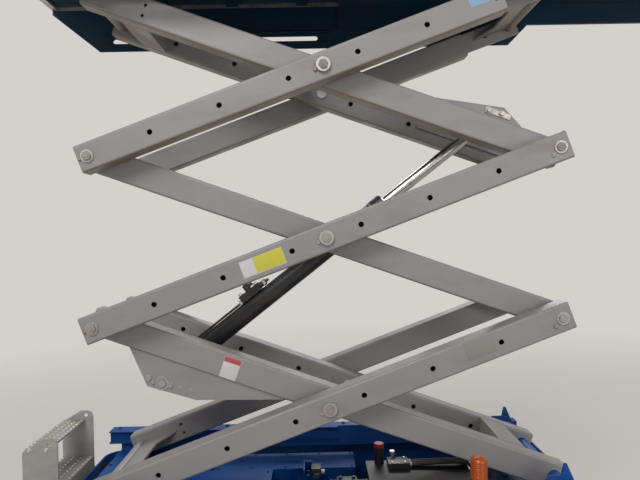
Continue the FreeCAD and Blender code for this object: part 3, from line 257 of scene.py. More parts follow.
PLASTICS = {
    "tyre_rubber": dict(base=(0.3, 0.3, 0.29), roughness=0.85, dust=0.3),
    "hose_rubber": dict(base=(0.014, 0.014, 0.014), roughness=0.55, dust=0.2),
    "slide_nylon": dict(base=(0.02, 0.02, 0.02), roughness=0.6),
    "black_plastic": dict(base=(0.015, 0.016, 0.018), roughness=0.5),
    "red_plastic": dict(base=(0.5, 0.03, 0.02), roughness=0.4, dust=0.12),
    "blue_plastic": dict(base=(0.03, 0.08, 0.25), roughness=0.4, dust=0.12),
    "white_plastic": dict(base=(0.6, 0.6, 0.57), roughness=0.45),
    "amber_lens": dict(base=(0.36, 0.066, 0.001), roughness=0.2, dust=0.02, coat=0.1, gloss=0.3),
    "label_white": dict(base=(0.56, 0.54, 0.55), roughness=0.4, dust=0.1, coat=0.2),
    "label_yellow": dict(base=(0.52, 0.47, 0.03), roughness=0.4, dust=0.08, coat=0.2),
    "label_red": dict(base=(0.42, 0.05, 0.07), roughness=0.4, dust=0.08, coat=0.2),
    "label_faded": dict(base=(0.225, 0.212, 0.2), roughness=0.5, dust=0.06),
    "label_blue": dict(base=(0.2, 0.33, 0.5), roughness=0.45, dust=0.1),
}
looks = {}
for make, table in ((worn_paint, PAINTS), (metal, METALS), (plastic, PLASTICS)):
    for name, values in table.items():
        looks[name] = make(name, **values)

for entry in frame["record"]["subparts"]:
    node = bpy.data.objects[entry["node"]]
    node.data.materials.clear()
    node.data.materials.append(looks[entry["material_slot"]])


def facing(x, y, z, normal):
    """Matrix that puts the local Z axis along a normal, at a point."""
    turn = Vector(UP).rotation_difference(Vector(normal)).to_matrix().to_4x4()
    return Matrix.Translation((x, y, z)) @ turn


def spot(x, y, z, normal=UP):
    """Place in the object's own millimetres, with the local Z axis along a normal."""
    return MM @ facing(x, y, z, normal)


def outward(base, side, x, y, z):
    """Place on one side of a frame, y from its middle, with the local Z axis pointing away from it."""
    return base @ facing(x, side * y, z, (0, side, 0))


def inward(base, side, x, y, z):
    return base @ facing(x, side * y, z, (0, -side, 0))


def arm_frame(pair, slope):
    """Matrix from the frame of one pair of arms, in millimetres, with X along the arms."""
    middle = (CENTRE_X, 0, PIVOT_Z + RISE * (pair + 0.5))
    return Matrix.Translation(middle) @ Matrix.Rotation(slope, 4, "Y") @ MM


def bridge(bm, lower, upper):
    count = len(lower)
    for step in range(count):
        after = (step + 1) % count
        bm.faces.new((lower[step], lower[after], upper[after], upper[step]))


def skin(bm, loops):
    """Faces from loop to loop, with both ends closed."""
    for lower, upper in zip(loops, loops[1:]):
        bridge(bm, lower, upper)
    bm.faces.new(list(reversed(loops[0])))
    bm.faces.new(loops[-1])


def lathe(bm, at, rings, count=24, closed=False, turn=0.0):
    """Turn rings of (radius, height) about the local Z axis."""
    angles = [turn + 2 * math.pi * step / count for step in range(count)]
    loops = []
    for radius, height in rings:
        places = [Vector((radius * math.cos(angle), radius * math.sin(angle), height)) for angle in angles]
        loops.append([bm.verts.new(at @ place) for place in places])
    if closed:
        for lower, upper in zip(loops, loops[1:] + loops[:1]):
            bridge(bm, lower, upper)
    else:
        skin(bm, loops)


def disc(bm, at, radius, low, high, chamfer=0.8, count=24):
    lathe(bm, at, [(radius, low), (radius, high - chamfer), (radius - chamfer, high)], count)


def band(bm, at, inner, outer, low, high, count=24):
    """Flat ring between two radii."""
    lathe(bm, at, [(inner, low), (outer, low), (outer, high), (inner, high)], count, closed=True)


def weld_ring(bm, at, inner, outer, half, count):
    """Bead round a tube."""
    lathe(bm, at, [(inner, -half), (outer, 0), (inner, half)], count, closed=True)


def hexagon(bm, at, radius, low, high, turn=0.3):
    edge = 0.12 * radius
    lathe(bm, at, [(radius, low), (radius, high - edge), (radius - edge, high)], 6, turn=turn)


def bolt(bm, at, radius, height):
    """Hexagon head on a washer."""
    washer = 0.22 * height
    disc(bm, at, radius * 1.35, 0, washer, 0.4, 20)
    hexagon(bm, at, radius, washer, height)


def block(bm, at, x0, x1, y0, y1, z0, z1, bevel=0.0):
    middle = Vector(((x0 + x1) / 2, (y0 + y1) / 2, (z0 + z1) / 2))
    matrix = at @ Matrix.Translation(middle) @ Matrix.Diagonal((x1 - x0, y1 - y0, z1 - z0, 1))
    made = bmesh.ops.create_cube(bm, size=1, matrix=matrix)
    if bevel:
        edges = list({edge for vert in made["verts"] for edge in vert.link_edges})
        bmesh.ops.bevel(bm, geom=edges, offset=bevel * 0.001, segments=2, affect="EDGES", profile=0.6)


def side_block(bm, at, side, x0, x1, y0, y1, z0, z1, bevel):
    """Block on one side, from y0 to y1 out from the middle."""
    low, high = sorted((side * y0, side * y1))
    block(bm, at, x0, x1, low, high, z0, z1, bevel)


def tube(bm, points, radius, count=10):
    """Round bar swept along a line of points, in the object's own millimetres."""
    places = [MM @ Vector(point) for point in points]
    normal = None
    loops = []
    for step, place in enumerate(places):
        before = places[max(step - 1, 0)]
        after = places[min(step + 1, len(places) - 1)]
        along = (after - before).normalized()
        if normal is None:
            normal = along.orthogonal().normalized()
        normal = (normal - along * normal.dot(along)).normalized()
        side = along.cross(normal)
        loop = []
        for turn in range(count):
            angle = 2 * math.pi * turn / count
            spoke = normal * math.cos(angle) + side * math.sin(angle)
            loop.append(bm.verts.new(place + spoke * radius * 0.001))
        loops.append(loop)
    skin(bm, loops)


def weld(bm, at, start, end, radius=3.0, ripple=7.0):
    """Rippled bead along a straight joint."""
    first, last = Vector(start), Vector(end)
    count = max(int((last - first).length / ripple), 2) * 2
    along = (at.to_3x3() @ (last - first)).normalized()
    normal = along.orthogonal().normalized()
    side = along.cross(normal)
    loops = []
    for step in range(count + 1):
        place = at @ first.lerp(last, step / count)
        swell = radius * (1.0 if step % 2 else 0.78) * 0.001
        loop = []
        for turn in range(6):
            angle = math.pi * turn / 3
            spoke = normal * math.cos(angle) + side * math.sin(angle)
            loop.append(bm.verts.new(place + spoke * swell))
        loops.append(loop)
    skin(bm, loops)


def show(name, data):
    item = bpy.data.objects.new(name, data)
    bpy.context.scene.collection.objects.link(item)
    return item


def piece(name, bm, body, slot, look=None, smooth=35):
    """Piece that rides on a body, shaded smooth where faces meet at less than the angle given."""
    bmesh.ops.recalc_face_normals(bm, faces=bm.faces)
    mesh = bpy.data.meshes.new(name)
    bm.to_mesh(mesh)
    bm.free()
    mesh.polygons.foreach_set("use_smooth", [True] * len(mesh.polygons))
    mesh.set_sharp_from_angle(angle=math.radians(smooth))
    mesh.materials.append(looks[look or slot])
    item = show(name, mesh)
    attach(item, body)
    return item


outer_frames = [arm_frame(pair, -ANGLE) for pair in range(3)]
inner_frames = [arm_frame(pair, ANGLE) for pair in range(3)]

# Pin ends of the outer arms, rear to front: hexagon nut, and a small keeper screw beside it
KEEPERS = {-1: (-31, 0), 0: (-36, -6), 1: (-38, -19)}
for pair, base in enumerate(outer_frames):
    nuts = bmesh.new()
    rings = bmesh.new()
    for side in (-1, 1):
        for end in (-1, 0, 1):
            if (pair, end) in ((0, -1), (2, 1)):
                continue
            x = end * HALF_ARM
            face = outward(base, side, x, OUTER_FACE, 0)
            nut_low = 6 if end else 14
            disc(nuts, face, 27 if end else 30, 0, 3, 1.0)
            hexagon(nuts, face, 18.5, nut_low, nut_low + 9, 0.2 + 0.35 * pair + end)
            disc(nuts, face, 9, nut_low + 9, nut_low + 11.5, 1.2, 16)
            dx, dz = KEEPERS[end]
            bolt(nuts, outward(base, side, x + dx, OUTER_FACE, dz), 7, 8)
            inside = inward(base, side, x, INNER_IN - 6.5, 0)
            band(rings, inside, 14, 21, 0, 2)
            disc(rings, inside, 6, 0, 3, 0.8, 12)
    body = "outer_frame_" + str(pair + 1)
    piece("pin_nuts_" + str(pair + 1), nuts, body, "pin_steel", "pin_paint")
    piece("pin_rings_" + str(pair + 1), rings, body, "pin_steel")

# Lower cylinder pin: keeper plate, screws and the two plugged holes in the gusset
lower_pin = bmesh.new()
for side in (-1, 1):
    pin_face = outward(inner_frames[0], side, LOWER_PIN[0], GUSSET_FACE, LOWER_PIN[1])
    disc(lower_pin, pin_face, 30, 0, 4, 1.0)
    disc(lower_pin, pin_face, 15, 8, 11, 1.5)
    for x, z in ((-704, -156), (-633, -148)):
        bolt(lower_pin, outward(inner_frames[0], side, x, GUSSET_FACE, z), 9, 9)
    disc(lower_pin, outward(inner_frames[0], side, -728, GUSSET_FACE, -146), 13, 0, 5, 1.0)
    for x, z in ((-595, -142), (-552, -138)):
        disc(lower_pin, outward(inner_frames[0], side, x, GUSSET_FACE, z), 6, -0.5, 0.6, 0.3, 16)
piece("lower_pin_hardware", lower_pin, "inner_frame_1", "pin_steel", "pin_paint")

# Upper cylinder pin: keeper plates with two screws on each bracket
KEEPER_PLATE = 4
upper_pin = bmesh.new()
for side in (-1, 1):
    for x, z in ((706, 100), (762, 103)):
        bolt(upper_pin, outward(inner_frames[2], side, x, INNER_IN + KEEPER_PLATE, z), 11, 9)
    side_block(upper_pin, inner_frames[2], side, 690, 803, INNER_IN, INNER_IN + KEEPER_PLATE, 88, 113, 1.5)
piece("upper_pin_hardware", upper_pin, "inner_frame_3", "pin_steel")

# Weld beads on the inner arms: torque boxes, gusset, upper brackets and rear pin bosses
TORQUE_BOXES = {0: (748, 866), 1: (), 2: (-748, -866)}
for pair, base in enumerate(inner_frames):
    beads = bmesh.new()
    for x in TORQUE_BOXES[pair]:
        for side in (-1, 1):
            weld(beads, base, (x, side * INNER_IN, -50), (x, side * INNER_IN, 50))
    for side in (-1, 1):
        if pair == 0:
            for y in (GUSSET_FACE - 12, GUSSET_FACE):
                weld(beads, base, (-838, side * y, -56), (-180, side * y, -56), 2.6)
        if pair == 2:
            y = side * (INNER_IN - 1)
            weld(beads, base, (472, y, 56), (893, y, 56), 2.6)
    for side in (-1, 1):
        weld_ring(beads, outward(base, side, -HALF_ARM, INNER_IN - 1, 0), 29, 34, 2, 32)
    piece("stack_welds_" + str(pair + 1), beads, "inner_frame_" + str(pair + 1), "arm_paint")


def film(name, base, body, x0, x1, face, z0, z1, look, lift=0.0):
    """Thin bare plate on the right-hand face of an arm."""
    bm = bmesh.new()
    side_block(bm, base, -1, x0, x1, face + lift, face + lift + 0.6, z0, z1, 0.25)
    piece(name, bm, body, "amber_lens", look)


film("plate_white", outer_frames[1], "outer_frame_2", -354, -178, OUTER_FACE, -34, 32, "label_white")
film("plate_yellow", outer_frames[1], "outer_frame_2", -299, -179, OUTER_FACE, -31, 31, "label_yellow", 0.5)
film("plate_small", inner_frames[0], "inner_frame_1", -460, -390, INNER_FACE, -48, 39, "label_white")
film("plate_band", inner_frames[0], "inner_frame_1", -459, -391, INNER_FACE, 18, 38.5, "label_red", 0.5)
film("plate_faded", outer_frames[0], "outer_frame_1", 572, 692, OUTER_FACE, -26, 50, "label_faded")
film("plate_pale", outer_frames[2], "outer_frame_3", 612, 727, OUTER_FACE, -2, 40, "label_blue")

# Lift cylinder in its own frame: X runs from the lower pin along the rod, and the valve block is on top
VALVE_TOP = 76
lower_end = inner_frames[0] @ Vector((LOWER_PIN[0], 0, LOWER_PIN[1]))
upper_end = inner_frames[2] @ Vector((UPPER_PIN[0], 0, UPPER_PIN[1]))
lean = Vector(FRONT).rotation_difference((upper_end - lower_end).normalized())
cylinder = Matrix.Translation(lower_end) @ lean.to_matrix().to_4x4() @ MM


def on_barrel(x, y, z, normal=UP):
    return cylinder @ facing(x, y, z, normal)


fittings = bmesh.new()
band(fittings, on_barrel(0, 0, 0, FRONT), 26, 47.5, 1128, 1134, 32)
band(fittings, on_barrel(0, 0, 0, FRONT), 26, 44, 1186, 1193, 32)
hexagon(fittings, on_barrel(548, 0, 59, FRONT), 15, 0, 14, 0.2)
for y in (-12.5, 12.5):
    hexagon(fittings, on_barrel(414, y, 49, FRONT), 9, 0, 14, 0.2)
for x in (438, 518):
    bolt(fittings, on_barrel(x, 14, VALVE_TOP), 5, 5)
    hexagon(fittings, on_barrel(x, -12, VALVE_TOP), 8, 0, 12, 0.4)
hexagon(fittings, on_barrel(424, 0, 62, REAR), 9, 0, 12, 0.4)
piece("barrel_fittings", fittings, "barrel", "pin_steel", "zinc")

COIL_PROFILE = [(15, 0), (15, 26), (12, 28), (7, 28), (7, 33), (5, 34)]
coil = bmesh.new()
lathe(coil, on_barrel(478, 0, VALVE_TOP), COIL_PROFILE)
block(coil, cylinder, 492, 508, -9, 9, 82, 98, 2.0)
block(coil, cylinder, 553, 566, -11, 11, 48, 68, 2.0)
piece("barrel_coil", coil, "barrel", "black_plastic")
plug = bmesh.new()
block(plug, cylinder, 566, 578, -7, 7, 52, 64, 2.0)
piece("barrel_plug", plug, "barrel", "black_plastic", "blue_plastic")
eye_weld = bmesh.new()
weld_ring(eye_weld, on_barrel(38, 0, 0, FRONT), 38, 45, 3, 32)
piece("barrel_weld", eye_weld, "barrel", "barrel_paint")

# Power unit on the chassis: filler cap, valve knob, hose fittings, covers and connectors
FILLER_PROFILE = [(23.2, 76), (23.6, 80), (23.6, 90), (20, 93)]
KNOB_PROFILE = [(13, 0), (13, 6), (8, 8), (8, 34), (13.5, 36), (13.5, 50), (11, 53)]
filler = bmesh.new()
lathe(filler, spot(-98, 98, BLOCK_TOP), FILLER_PROFILE, 20)
piece("filler_cap", filler, "chassis", "black_plastic", "red_plastic")
power = bmesh.new()
lathe(power, spot(-36, 105, BLOCK_TOP), KNOB_PROFILE, 20)
for y in HOSE_Y:
    hexagon(power, spot(30, y, 410, FRONT), 10.5, 0, 16)
    hexagon(power, spot(350, y, 251), 10.5, 0, 18)
for y in (34, 82):
    for x in (-45, 15):
        bolt(power, spot(x, y, 423), 5, 6)
piece("power_fittings", power, "chassis", "pin_steel", "zinc")
valve_cover = bmesh.new()
block(valve_cover, MM, -64, 34, 21, 95, BLOCK_TOP, 425, 3.0)
piece("valve_cover", valve_cover, "chassis", "barrel_paint")
motor = bmesh.new()
for low, high in ((-330, -322), (-172, -160)):
    band(motor, spot(0, 0, 307, FRONT), 20, 58.5, low, high, 32)
block(motor, MM, -300, -210, -22, 22, 358, 374, 3.0)
for x in (-285, -225):
    bolt(motor, spot(x, 0, 374), 8, 9)
piece("motor_trim", motor, "chassis", "barrel_paint")
harness = bmesh.new()
block(harness, MM, -416, -372, 60, 120, TRAY_TOP, 392, 2.5)
block(harness, MM, -405, -380, 40, 60, TRAY_TOP, 376, 2.5)
piece("harness_box", harness, "chassis", "black_plastic")
harness_plug = bmesh.new()
block(harness_plug, MM, -371, -354, 84, 104, 358, 372, 2.5)
piece("harness_plug", harness_plug, "chassis", "black_plastic", "white_plastic")
bracket = bmesh.new()
block(bracket, MM, -452, -446, 40, 150, TRAY_TOP, 396, 1.0)
block(bracket, MM, -452, -412, 144, 150, TRAY_TOP, 392, 1.0)
for y in (70, 110):
    bolt(bracket, spot(-430, y, TRAY_TOP), 7, 6)
piece("harness_bracket", bracket, "chassis", "chassis_paint")

# Tray covers: screws round the battery lids, a handle on each, and screws in the middle cover
lids = bmesh.new()
for side in (-1, 1):
    for x in range(-860, -200, 160):
        for y in (165, 310):
            bolt(lids, spot(x, side * y, TRAY_TOP), 6, 5)
    side_block(lids, MM, side, -600, -480, 225, 250, TRAY_TOP, TRAY_TOP + 6, 2.5)
for x in (-1020, -620):
    for y in (-120, 120):
        bolt(lids, spot(x, y, TRAY_TOP), 6, 5)
piece("lid_screws", lids, "chassis", "chassis_paint")

# Hoses over the tank and down to the spine, held by a fitting at each end
for index, y in enumerate(HOSE_Y):
    name = "hose_" + str(index + 1)
    line = bpy.data.curves.new(name, "CURVE")
    line.dimensions = "3D"
    spline = line.splines.new("NURBS")
    route = [(30, y, 410), (190, y + 1 - index, 418), (350, y, 412), (350, y, 251)]
    spline.points.add(len(route) - 1)
    for point, place in zip(spline.points, route):
        point.co = (*(MM @ Vector(place)), 1)
    spline.order_u = 3
    spline.use_endpoint_u = True
    spline.resolution_u = 24
    line.bevel_depth = 0.007
    line.bevel_resolution = 5
    line.materials.append(looks["hose_rubber"])
    hose = show(name, line)
    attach(hose, "chassis")
    if index == 0:
        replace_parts(hose, "chassis_hoses")

# Pivot brackets with the shaft's collar, side plates, wheel decks and end walls
chassis_bolts = bmesh.new()
for side in (-1, 1):
    collar = inward(MM, side, 1000 * PIVOT_X, BRACKET_FACE, 1000 * PIVOT_Z)
    lathe(chassis_bolts, collar, [(28, 0), (40, 0), (40, 8), (28, 12)], 28, closed=True)
    for x, z in ((492, 420), (545, 470), (620, 420)):
        bolt(chassis_bolts, inward(MM, side, x, BRACKET_FACE, z), 9, 8)
    for x in (-1400, -1150, -850, -550, -250, 50, 350, 600):
        bolt(chassis_bolts, spot(x, side * 363, CHASSIS_TOP), 8, 7)
    for columns, rows in (((440, 640), (60, 200, 300)), ((-1370, -1200), (150, 300))):
        for x in columns:
            for y in rows:
                bolt(chassis_bolts, spot(x, side * y, PAN_TOP), 8, 7)
    for rear_z, front_z in ((150, 150), (360, 245)):
        bolt(chassis_bolts, spot(REAR_WALL_X, side * 215, rear_z, REAR), 9, 8)
        bolt(chassis_bolts, spot(FRONT_WALL_X, side * 70, front_z, FRONT), 9, 8)
piece("chassis_bolts", chassis_bolts, "chassis", "chassis_paint")
chassis_welds = bmesh.new()
for side in (-1, 1):
    for x0, x1, y, z, radius, ripple in (
            (472, 638, 323, 395, 3.0, 7),
            (-1440, -285, 331, 434, 2.5, 12),
            (-1440, 640, 341, 484, 2.5, 14),
            (-1386, -1145, 328, 395, 2.5, 7)):
        weld(chassis_welds, MM, (x0, side * y, z), (x1, side * y, z), radius, ripple)
piece("chassis_welds", chassis_welds, "chassis", "chassis_paint")

# Bare data plate and charger inlet on the rear wall
INLET_X = REAR_WALL_X - 30
data_plate = bmesh.new()
block(data_plate, MM, REAR_WALL_X - 3, REAR_WALL_X, -60, 40, 300, 350, 1.0)
piece("data_plate", data_plate, "chassis", "pin_steel", "zinc")
inlet = bmesh.new()
block(inlet, MM, INLET_X, REAR_WALL_X, 70, 140, 215, 290, 5.0)
lathe(inlet, spot(INLET_X, 105, 252, REAR), [(26, 0), (26, 6), (20, 6.5), (20, 2)])
piece("charger_inlet", inlet, "chassis", "black_plastic")

# Amber lamp with a ribbed lens, in place of its plain solid
lamp_place = spot(BEACON_X, BEACON_Y, CHASSIS_TOP)
lamp_foot = bmesh.new()
lathe(lamp_foot, lamp_place, [(40, 0), (40, 10), (34, 14), (32, 30), (34, 34), (34, 40)], 32)
for screw in range(3):
    turn = Matrix.Rotation(math.radians(120 * screw + 30), 4, "Z")
    bolt(lamp_foot, lamp_place @ turn @ Matrix.Translation((36.2, 0, 10)), 3.5, 4)
piece("lamp_base", lamp_foot, "chassis", "black_plastic")
lens_profile = [(30, 40), (30, 43)]
for rib in range(9):
    low = 43 + rib * 8
    lens_profile += [(31.6, low + 1.5), (31.6, low + 5), (30.2, low + 7)]
lens_profile += [(28.5, 118), (24, 124), (14, 127.5), (4, 128)]
lens = bmesh.new()
lathe(lens, lamp_place, lens_profile, 40)
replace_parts(piece("lamp_lens", lens, "chassis", "amber_lens"), "beacon")

# Tyres with grooves, in place of the plain ones: radius and distance from the side, up to the middle rib
TREAD_RADIUS = 190.5
GROOVE_RADIUS = 186
HALF_TYRE = [(143, 12), (156, 5), (160, 3.5), (168.5, 0), (176, 2.5), (184.5, 8),
             (TREAD_RADIUS, 20), (TREAD_RADIUS, 40), (GROOVE_RADIUS, 42), (GROOVE_RADIUS, 49),
             (TREAD_RADIUS, 51)]
TYRE_STEPS = 144
LUG_STEPS = 6
CUT_DEPTH = 4.5
MIDDLE_RIB = 20


def tyre(wheel, x, side):
    bm = bmesh.new()
    middle = (TYRE_OUT + TYRE_IN) / 2
    rows = [(radius, TYRE_IN + edge) for radius, edge in HALF_TYRE]
    rows += [(radius, TYRE_OUT - edge) for radius, edge in reversed(HALF_TYRE)]
    loops = []
    for step in range(TYRE_STEPS):
        angle = 2 * math.pi * step / TYRE_STEPS
        loop = []
        for radius, y in rows:
            lug = radius == TREAD_RADIUS and abs(y - middle) > MIDDLE_RIB
            if lug and step % LUG_STEPS in (0, 1):
                radius -= CUT_DEPTH
            point = (x + radius * math.cos(angle), side * y, AXLE_Z + radius * math.sin(angle))
            loop.append(bm.verts.new(MM @ Vector(point)))
        loops.append(loop)
    for lower, upper in zip(loops, loops[1:] + loops[:1]):
        bridge(bm, lower, upper)
    return piece("tyre_tread_" + wheel, bm, "wheel_" + wheel, "tyre_rubber", smooth=25)


WHEEL_NUTS = 9
HUB_CAP = [(20, 360), (45, 363.5), (45, 369), (38, 377), (14, 381), (3, 381.5)]
for axle, axle_x in (("front", FRONT_AXLE_X), ("rear", REAR_AXLE_X)):
    for word, side in (("left", 1), ("right", -1)):
        wheel = axle + "_" + word
        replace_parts(tyre(wheel, axle_x, side), "tyre_" + wheel)
        nuts = bmesh.new()
        hub = outward(MM, side, axle_x, 0, AXLE_Z)
        for step in range(WHEEL_NUTS):
            turn = Matrix.Rotation(2 * math.pi * step / WHEEL_NUTS, 4, "Z")
            bolt(nuts, hub @ turn @ Matrix.Translation((88, 0, 355)), 11, 14)
        lathe(nuts, hub, HUB_CAP, 32)
        band(nuts, hub, 133, 136, 386, 392, 64)
        piece("wheel_nuts_" + wheel, nuts, "wheel_" + wheel, "pin_steel")

# Side covers: louvres, two stiffening beads and two latches
for word, side in (("left", 1), ("right", -1)):
    trim = bmesh.new()
    for x in (-900, -560):
        for row in range(4):
            z = 190 + row * 22
            side_block(trim, MM, side, x, x + 120, COVER_FACE, COVER_FACE + 3.5, z, z + 9, 1.6)
    for z in (352, 158):
        side_block(trim, MM, side, -980, 280, COVER_FACE, COVER_FACE + 2, z, z + 8, 1.0)
    piece("cover_trim_" + word, trim, "cover_" + word, "chassis_paint")
    latch = bmesh.new()
    for x in (-960, -200):
        side_block(latch, MM, side, x, x + 70, COVER_FACE - 0.5, COVER_FACE + 2.5, 236, 290, 3.0)
        side_block(latch, MM, side, x + 12, x + 58, COVER_FACE + 2, COVER_FACE + 4.5, 246, 280, 2.5)
    piece("cover_latches_" + word, latch, "cover_" + word, "black_plastic")

# Ladder: grip studs on the treads, the top one shallower, and bolts through the side plates
studs = bmesh.new()
for level in TREADS:
    depth = 82 if level == TREADS[-1] else 120
    for row in range(4):
        for column in range(12):
            x = LADDER_FRONT - 130 + row * (depth / 3)
            y = -150 + column * 300 / 11 + (7 if row % 2 else -7)
            lathe(studs, spot(x, y, level), [(6, 0), (5, 2.2), (2.5, 2.4)], 10)
piece("ladder_studs", studs, "chassis", "grey_steel", "tread_steel")
ladder_bolts = bmesh.new()
for side in (-1, 1):
    for level in TREADS:
        for x in (LADDER_BACK + 30, LADDER_BACK + 100):
            bolt(ladder_bolts, outward(MM, side, x, LADDER_SIDE, level - 4), 7, 6)
piece("ladder_bolts", ladder_bolts, "chassis", "pin_steel", "zinc")

# Raised lozenges on the decks, turned one way and the other
LOZENGE = [(-13, 0), (0, -4), (13, 0), (0, 4)]
LOZENGE_HEIGHT = 1.4
LOZENGE_PITCH = 40


def lozenges(name, body, slot, x0, x1, half_width, z):
    bm = bmesh.new()
    for column in range(int((x1 - x0) // LOZENGE_PITCH)):
        for row in range(int(2 * half_width // LOZENGE_PITCH)):
            turn = Matrix.Rotation(math.radians(45 if (column + row) % 2 else -45), 4, "Z")
            x = x0 + LOZENGE_PITCH / 2 + column * LOZENGE_PITCH
            y = -half_width + LOZENGE_PITCH / 2 + row * LOZENGE_PITCH
            at = spot(x, y, z) @ turn
            lower = [bm.verts.new(at @ Vector((*corner, 0))) for corner in LOZENGE]
            upper = [bm.verts.new(at @ Vector((*corner, LOZENGE_HEIGHT))) for corner in LOZENGE]
            skin(bm, [lower, upper])
    piece(name, bm, body, slot)


lozenges("deck_tread", "platform", "deck_sheet", -1615, 725, 285, DECK_Z + 3)
lozenges("extension_tread", "extension", "platform_paint", 800, 1630, 300, EXTENSION_Z)

# Guardrails: sockets with pins at the posts, weld rings where rails meet posts, and the gate's hinge caps
POST_INSET = 22
first_post = PLATFORM_REAR + POST_INSET
post_pitch = (PLATFORM_FRONT - PLATFORM_REAR - 2 * POST_INSET) / 3
sockets = bmesh.new()
rail_welds = bmesh.new()
for side in (-1, 1):
    for step in range(4):
        x = first_post + step * post_pitch
        foot = spot(x, side * POST_Y, DECK_Z)
        band(sockets, foot, 18.2, 19.8, 0, 90)
        block(sockets, foot, -21, 21, -19.5, 19.5, 0, 4, 1.0)
        disc(sockets, inward(MM, side, x, POST_Y - 19.6, DECK_Z + 60), 7, 0, 9, 1.5, 14)
        for rail in (550, 1082):
            weld_ring(rail_welds, spot(x, side * POST_Y, DECK_Z + rail - 15.5), 17.8, 20.5, 2.5, 20)
for hinge in (250, 850):
    disc(sockets, spot(-1650, -272, DECK_Z + hinge + 24.5), 8, 0, 4, 1.0, 16)
piece("post_sockets", sockets, "platform", "platform_paint")
piece("rail_welds", rail_welds, "platform", "platform_paint")

# Underside of the deck: sheet, ribs across it, and a plate inside each skirt
ribs = bmesh.new()
block(ribs, MM, -1648, 752, -SHEET_HALF, SHEET_HALF, TOP_Z + 176.5, TOP_Z + 177.6)
for x in (-1500, -1150, -800, -450, -100, 250, 600):
    block(ribs, MM, x, x + 60, -SHEET_HALF, SHEET_HALF, TOP_Z + 162, TOP_Z + 177.5, 3.0)
for side in (-1, 1):
    side_block(ribs, MM, side, -246, -176, SHEET_HALF - 0.5, SHEET_HALF + 2, TOP_Z + 52, TOP_Z + 157, 1.0)
piece("deck_ribs", ribs, "platform", "platform_paint")

# Skirts: a row of bolts, a lower one at the rear slope, and the front pin's cap
skirt_bolts = bmesh.new()
for side in (-1, 1):
    for x, z in [(-1478, 21)] + [(x, 120) for x in (-1300, -900, -500, -100, 300, 500, 700)]:
        bolt(skirt_bolts, outward(MM, side, x, SKIRT_FACE, TOP_Z + z), 8, 7)
    cap = outward(MM, side, 1000 * PIVOT_X, SKIRT_FACE + 4, TOP_Z)
    lathe(skirt_bolts, cap, [(26, -4), (26, 3), (22, 6), (6, 7)], 28)
piece("skirt_bolts", skirt_bolts, "platform", "pin_steel")

# Slide-out deck: sockets of its front posts, weld rings on its rails and flush bolts in its sides
extension = bmesh.new()
for side in (-1, 1):
    band(extension, spot(1652, side * EXTENSION_Y, EXTENSION_Z), 16.1, 19.5, 0, 80)
    for x in (760, 1636):
        weld_ring(extension, spot(x, side * EXTENSION_Y, DECK_Z + 1037, FRONT), 16, 18, 3, 20)
    for x in (800, 1100, 1400, 1640):
        disc(extension, outward(MM, side, x, EXTENSION_FACE, TOP_Z + 100), 8, 0, 1.4, 0.6, 18)
piece("extension_fittings", extension, "extension", "platform_paint")

# Control box: face with a lever between two guard bars, switches and a red button
BOX_X = 1502.0
BOX_Y = -200.0
BOX_HALF = 84
BOX_Z = DECK_Z + 985
GUARD_BAR = [(-4, -80), (-40, -74), (-44, 0), (-40, 74), (-4, 80)]
LEVER_PROFILE = [(24, 0), (22, 5), (17, 8), (18, 12), (12, 15), (9, 22), (7, 24), (7, 52), (13, 56),
                 (14, 78), (9, 86)]
BUTTON_PROFILE = [(10, 0), (10, 12), (19, 15), (20, 22), (16, 27), (6, 29)]
SWITCH_PROFILE = [(3, 0), (3, 8), (4.5, 20), (3, 22)]
face = spot(BOX_X, BOX_Y, BOX_Z, REAR)
panel = bmesh.new()
block(panel, MM, BOX_X - 6, BOX_X, BOX_Y - BOX_HALF, BOX_Y + BOX_HALF, BOX_Z - 88, BOX_Z + 88, 3.0)
block(panel, MM, BOX_X + 6, BOX_X + 128, BOX_Y - BOX_HALF, BOX_Y + BOX_HALF, BOX_Z + 95, BOX_Z + 99, 1.5)
lathe(panel, face @ Matrix.Translation((20, -22, 6)), LEVER_PROFILE)
for y in (BOX_Y - 74.25, BOX_Y + 74.25):
    tube(panel, [(BOX_X + x, y, BOX_Z + z) for x, z in GUARD_BAR], 5)
piece("control_panel", panel, "extension", "black_plastic")
button = bmesh.new()
lathe(button, face @ Matrix.Translation((-45, 40, 6)), BUTTON_PROFILE, 28)
piece("stop_button", button, "extension", "black_plastic", "red_plastic")
switches = bmesh.new()
for x, y in ((-50, -20), (-50, -50), (45, 45), (15, 45)):
    hexagon(switches, face @ Matrix.Translation((x, y, 6)), 9, 0, 4)
    toggle = face @ Matrix.Translation((x, y, 10)) @ Matrix.Rotation(0.3, 4, "X")
    lathe(switches, toggle, SWITCH_PROFILE, 12)
piece("control_switches", switches, "extension", "pin_steel", "zinc")

# Gate: latch plate and its pull
gate = bmesh.new()
block(gate, MM, -1658, -1642, 244, 281, DECK_Z + 985, DECK_Z + 1030, 2.0)
tube(gate, [(-1659, 250, DECK_Z + 1010), (-1667, 250, DECK_Z + 1004), (-1667, 250, DECK_Z + 950)], 4)
piece("gate_latch", gate, "gate", "pin_steel")

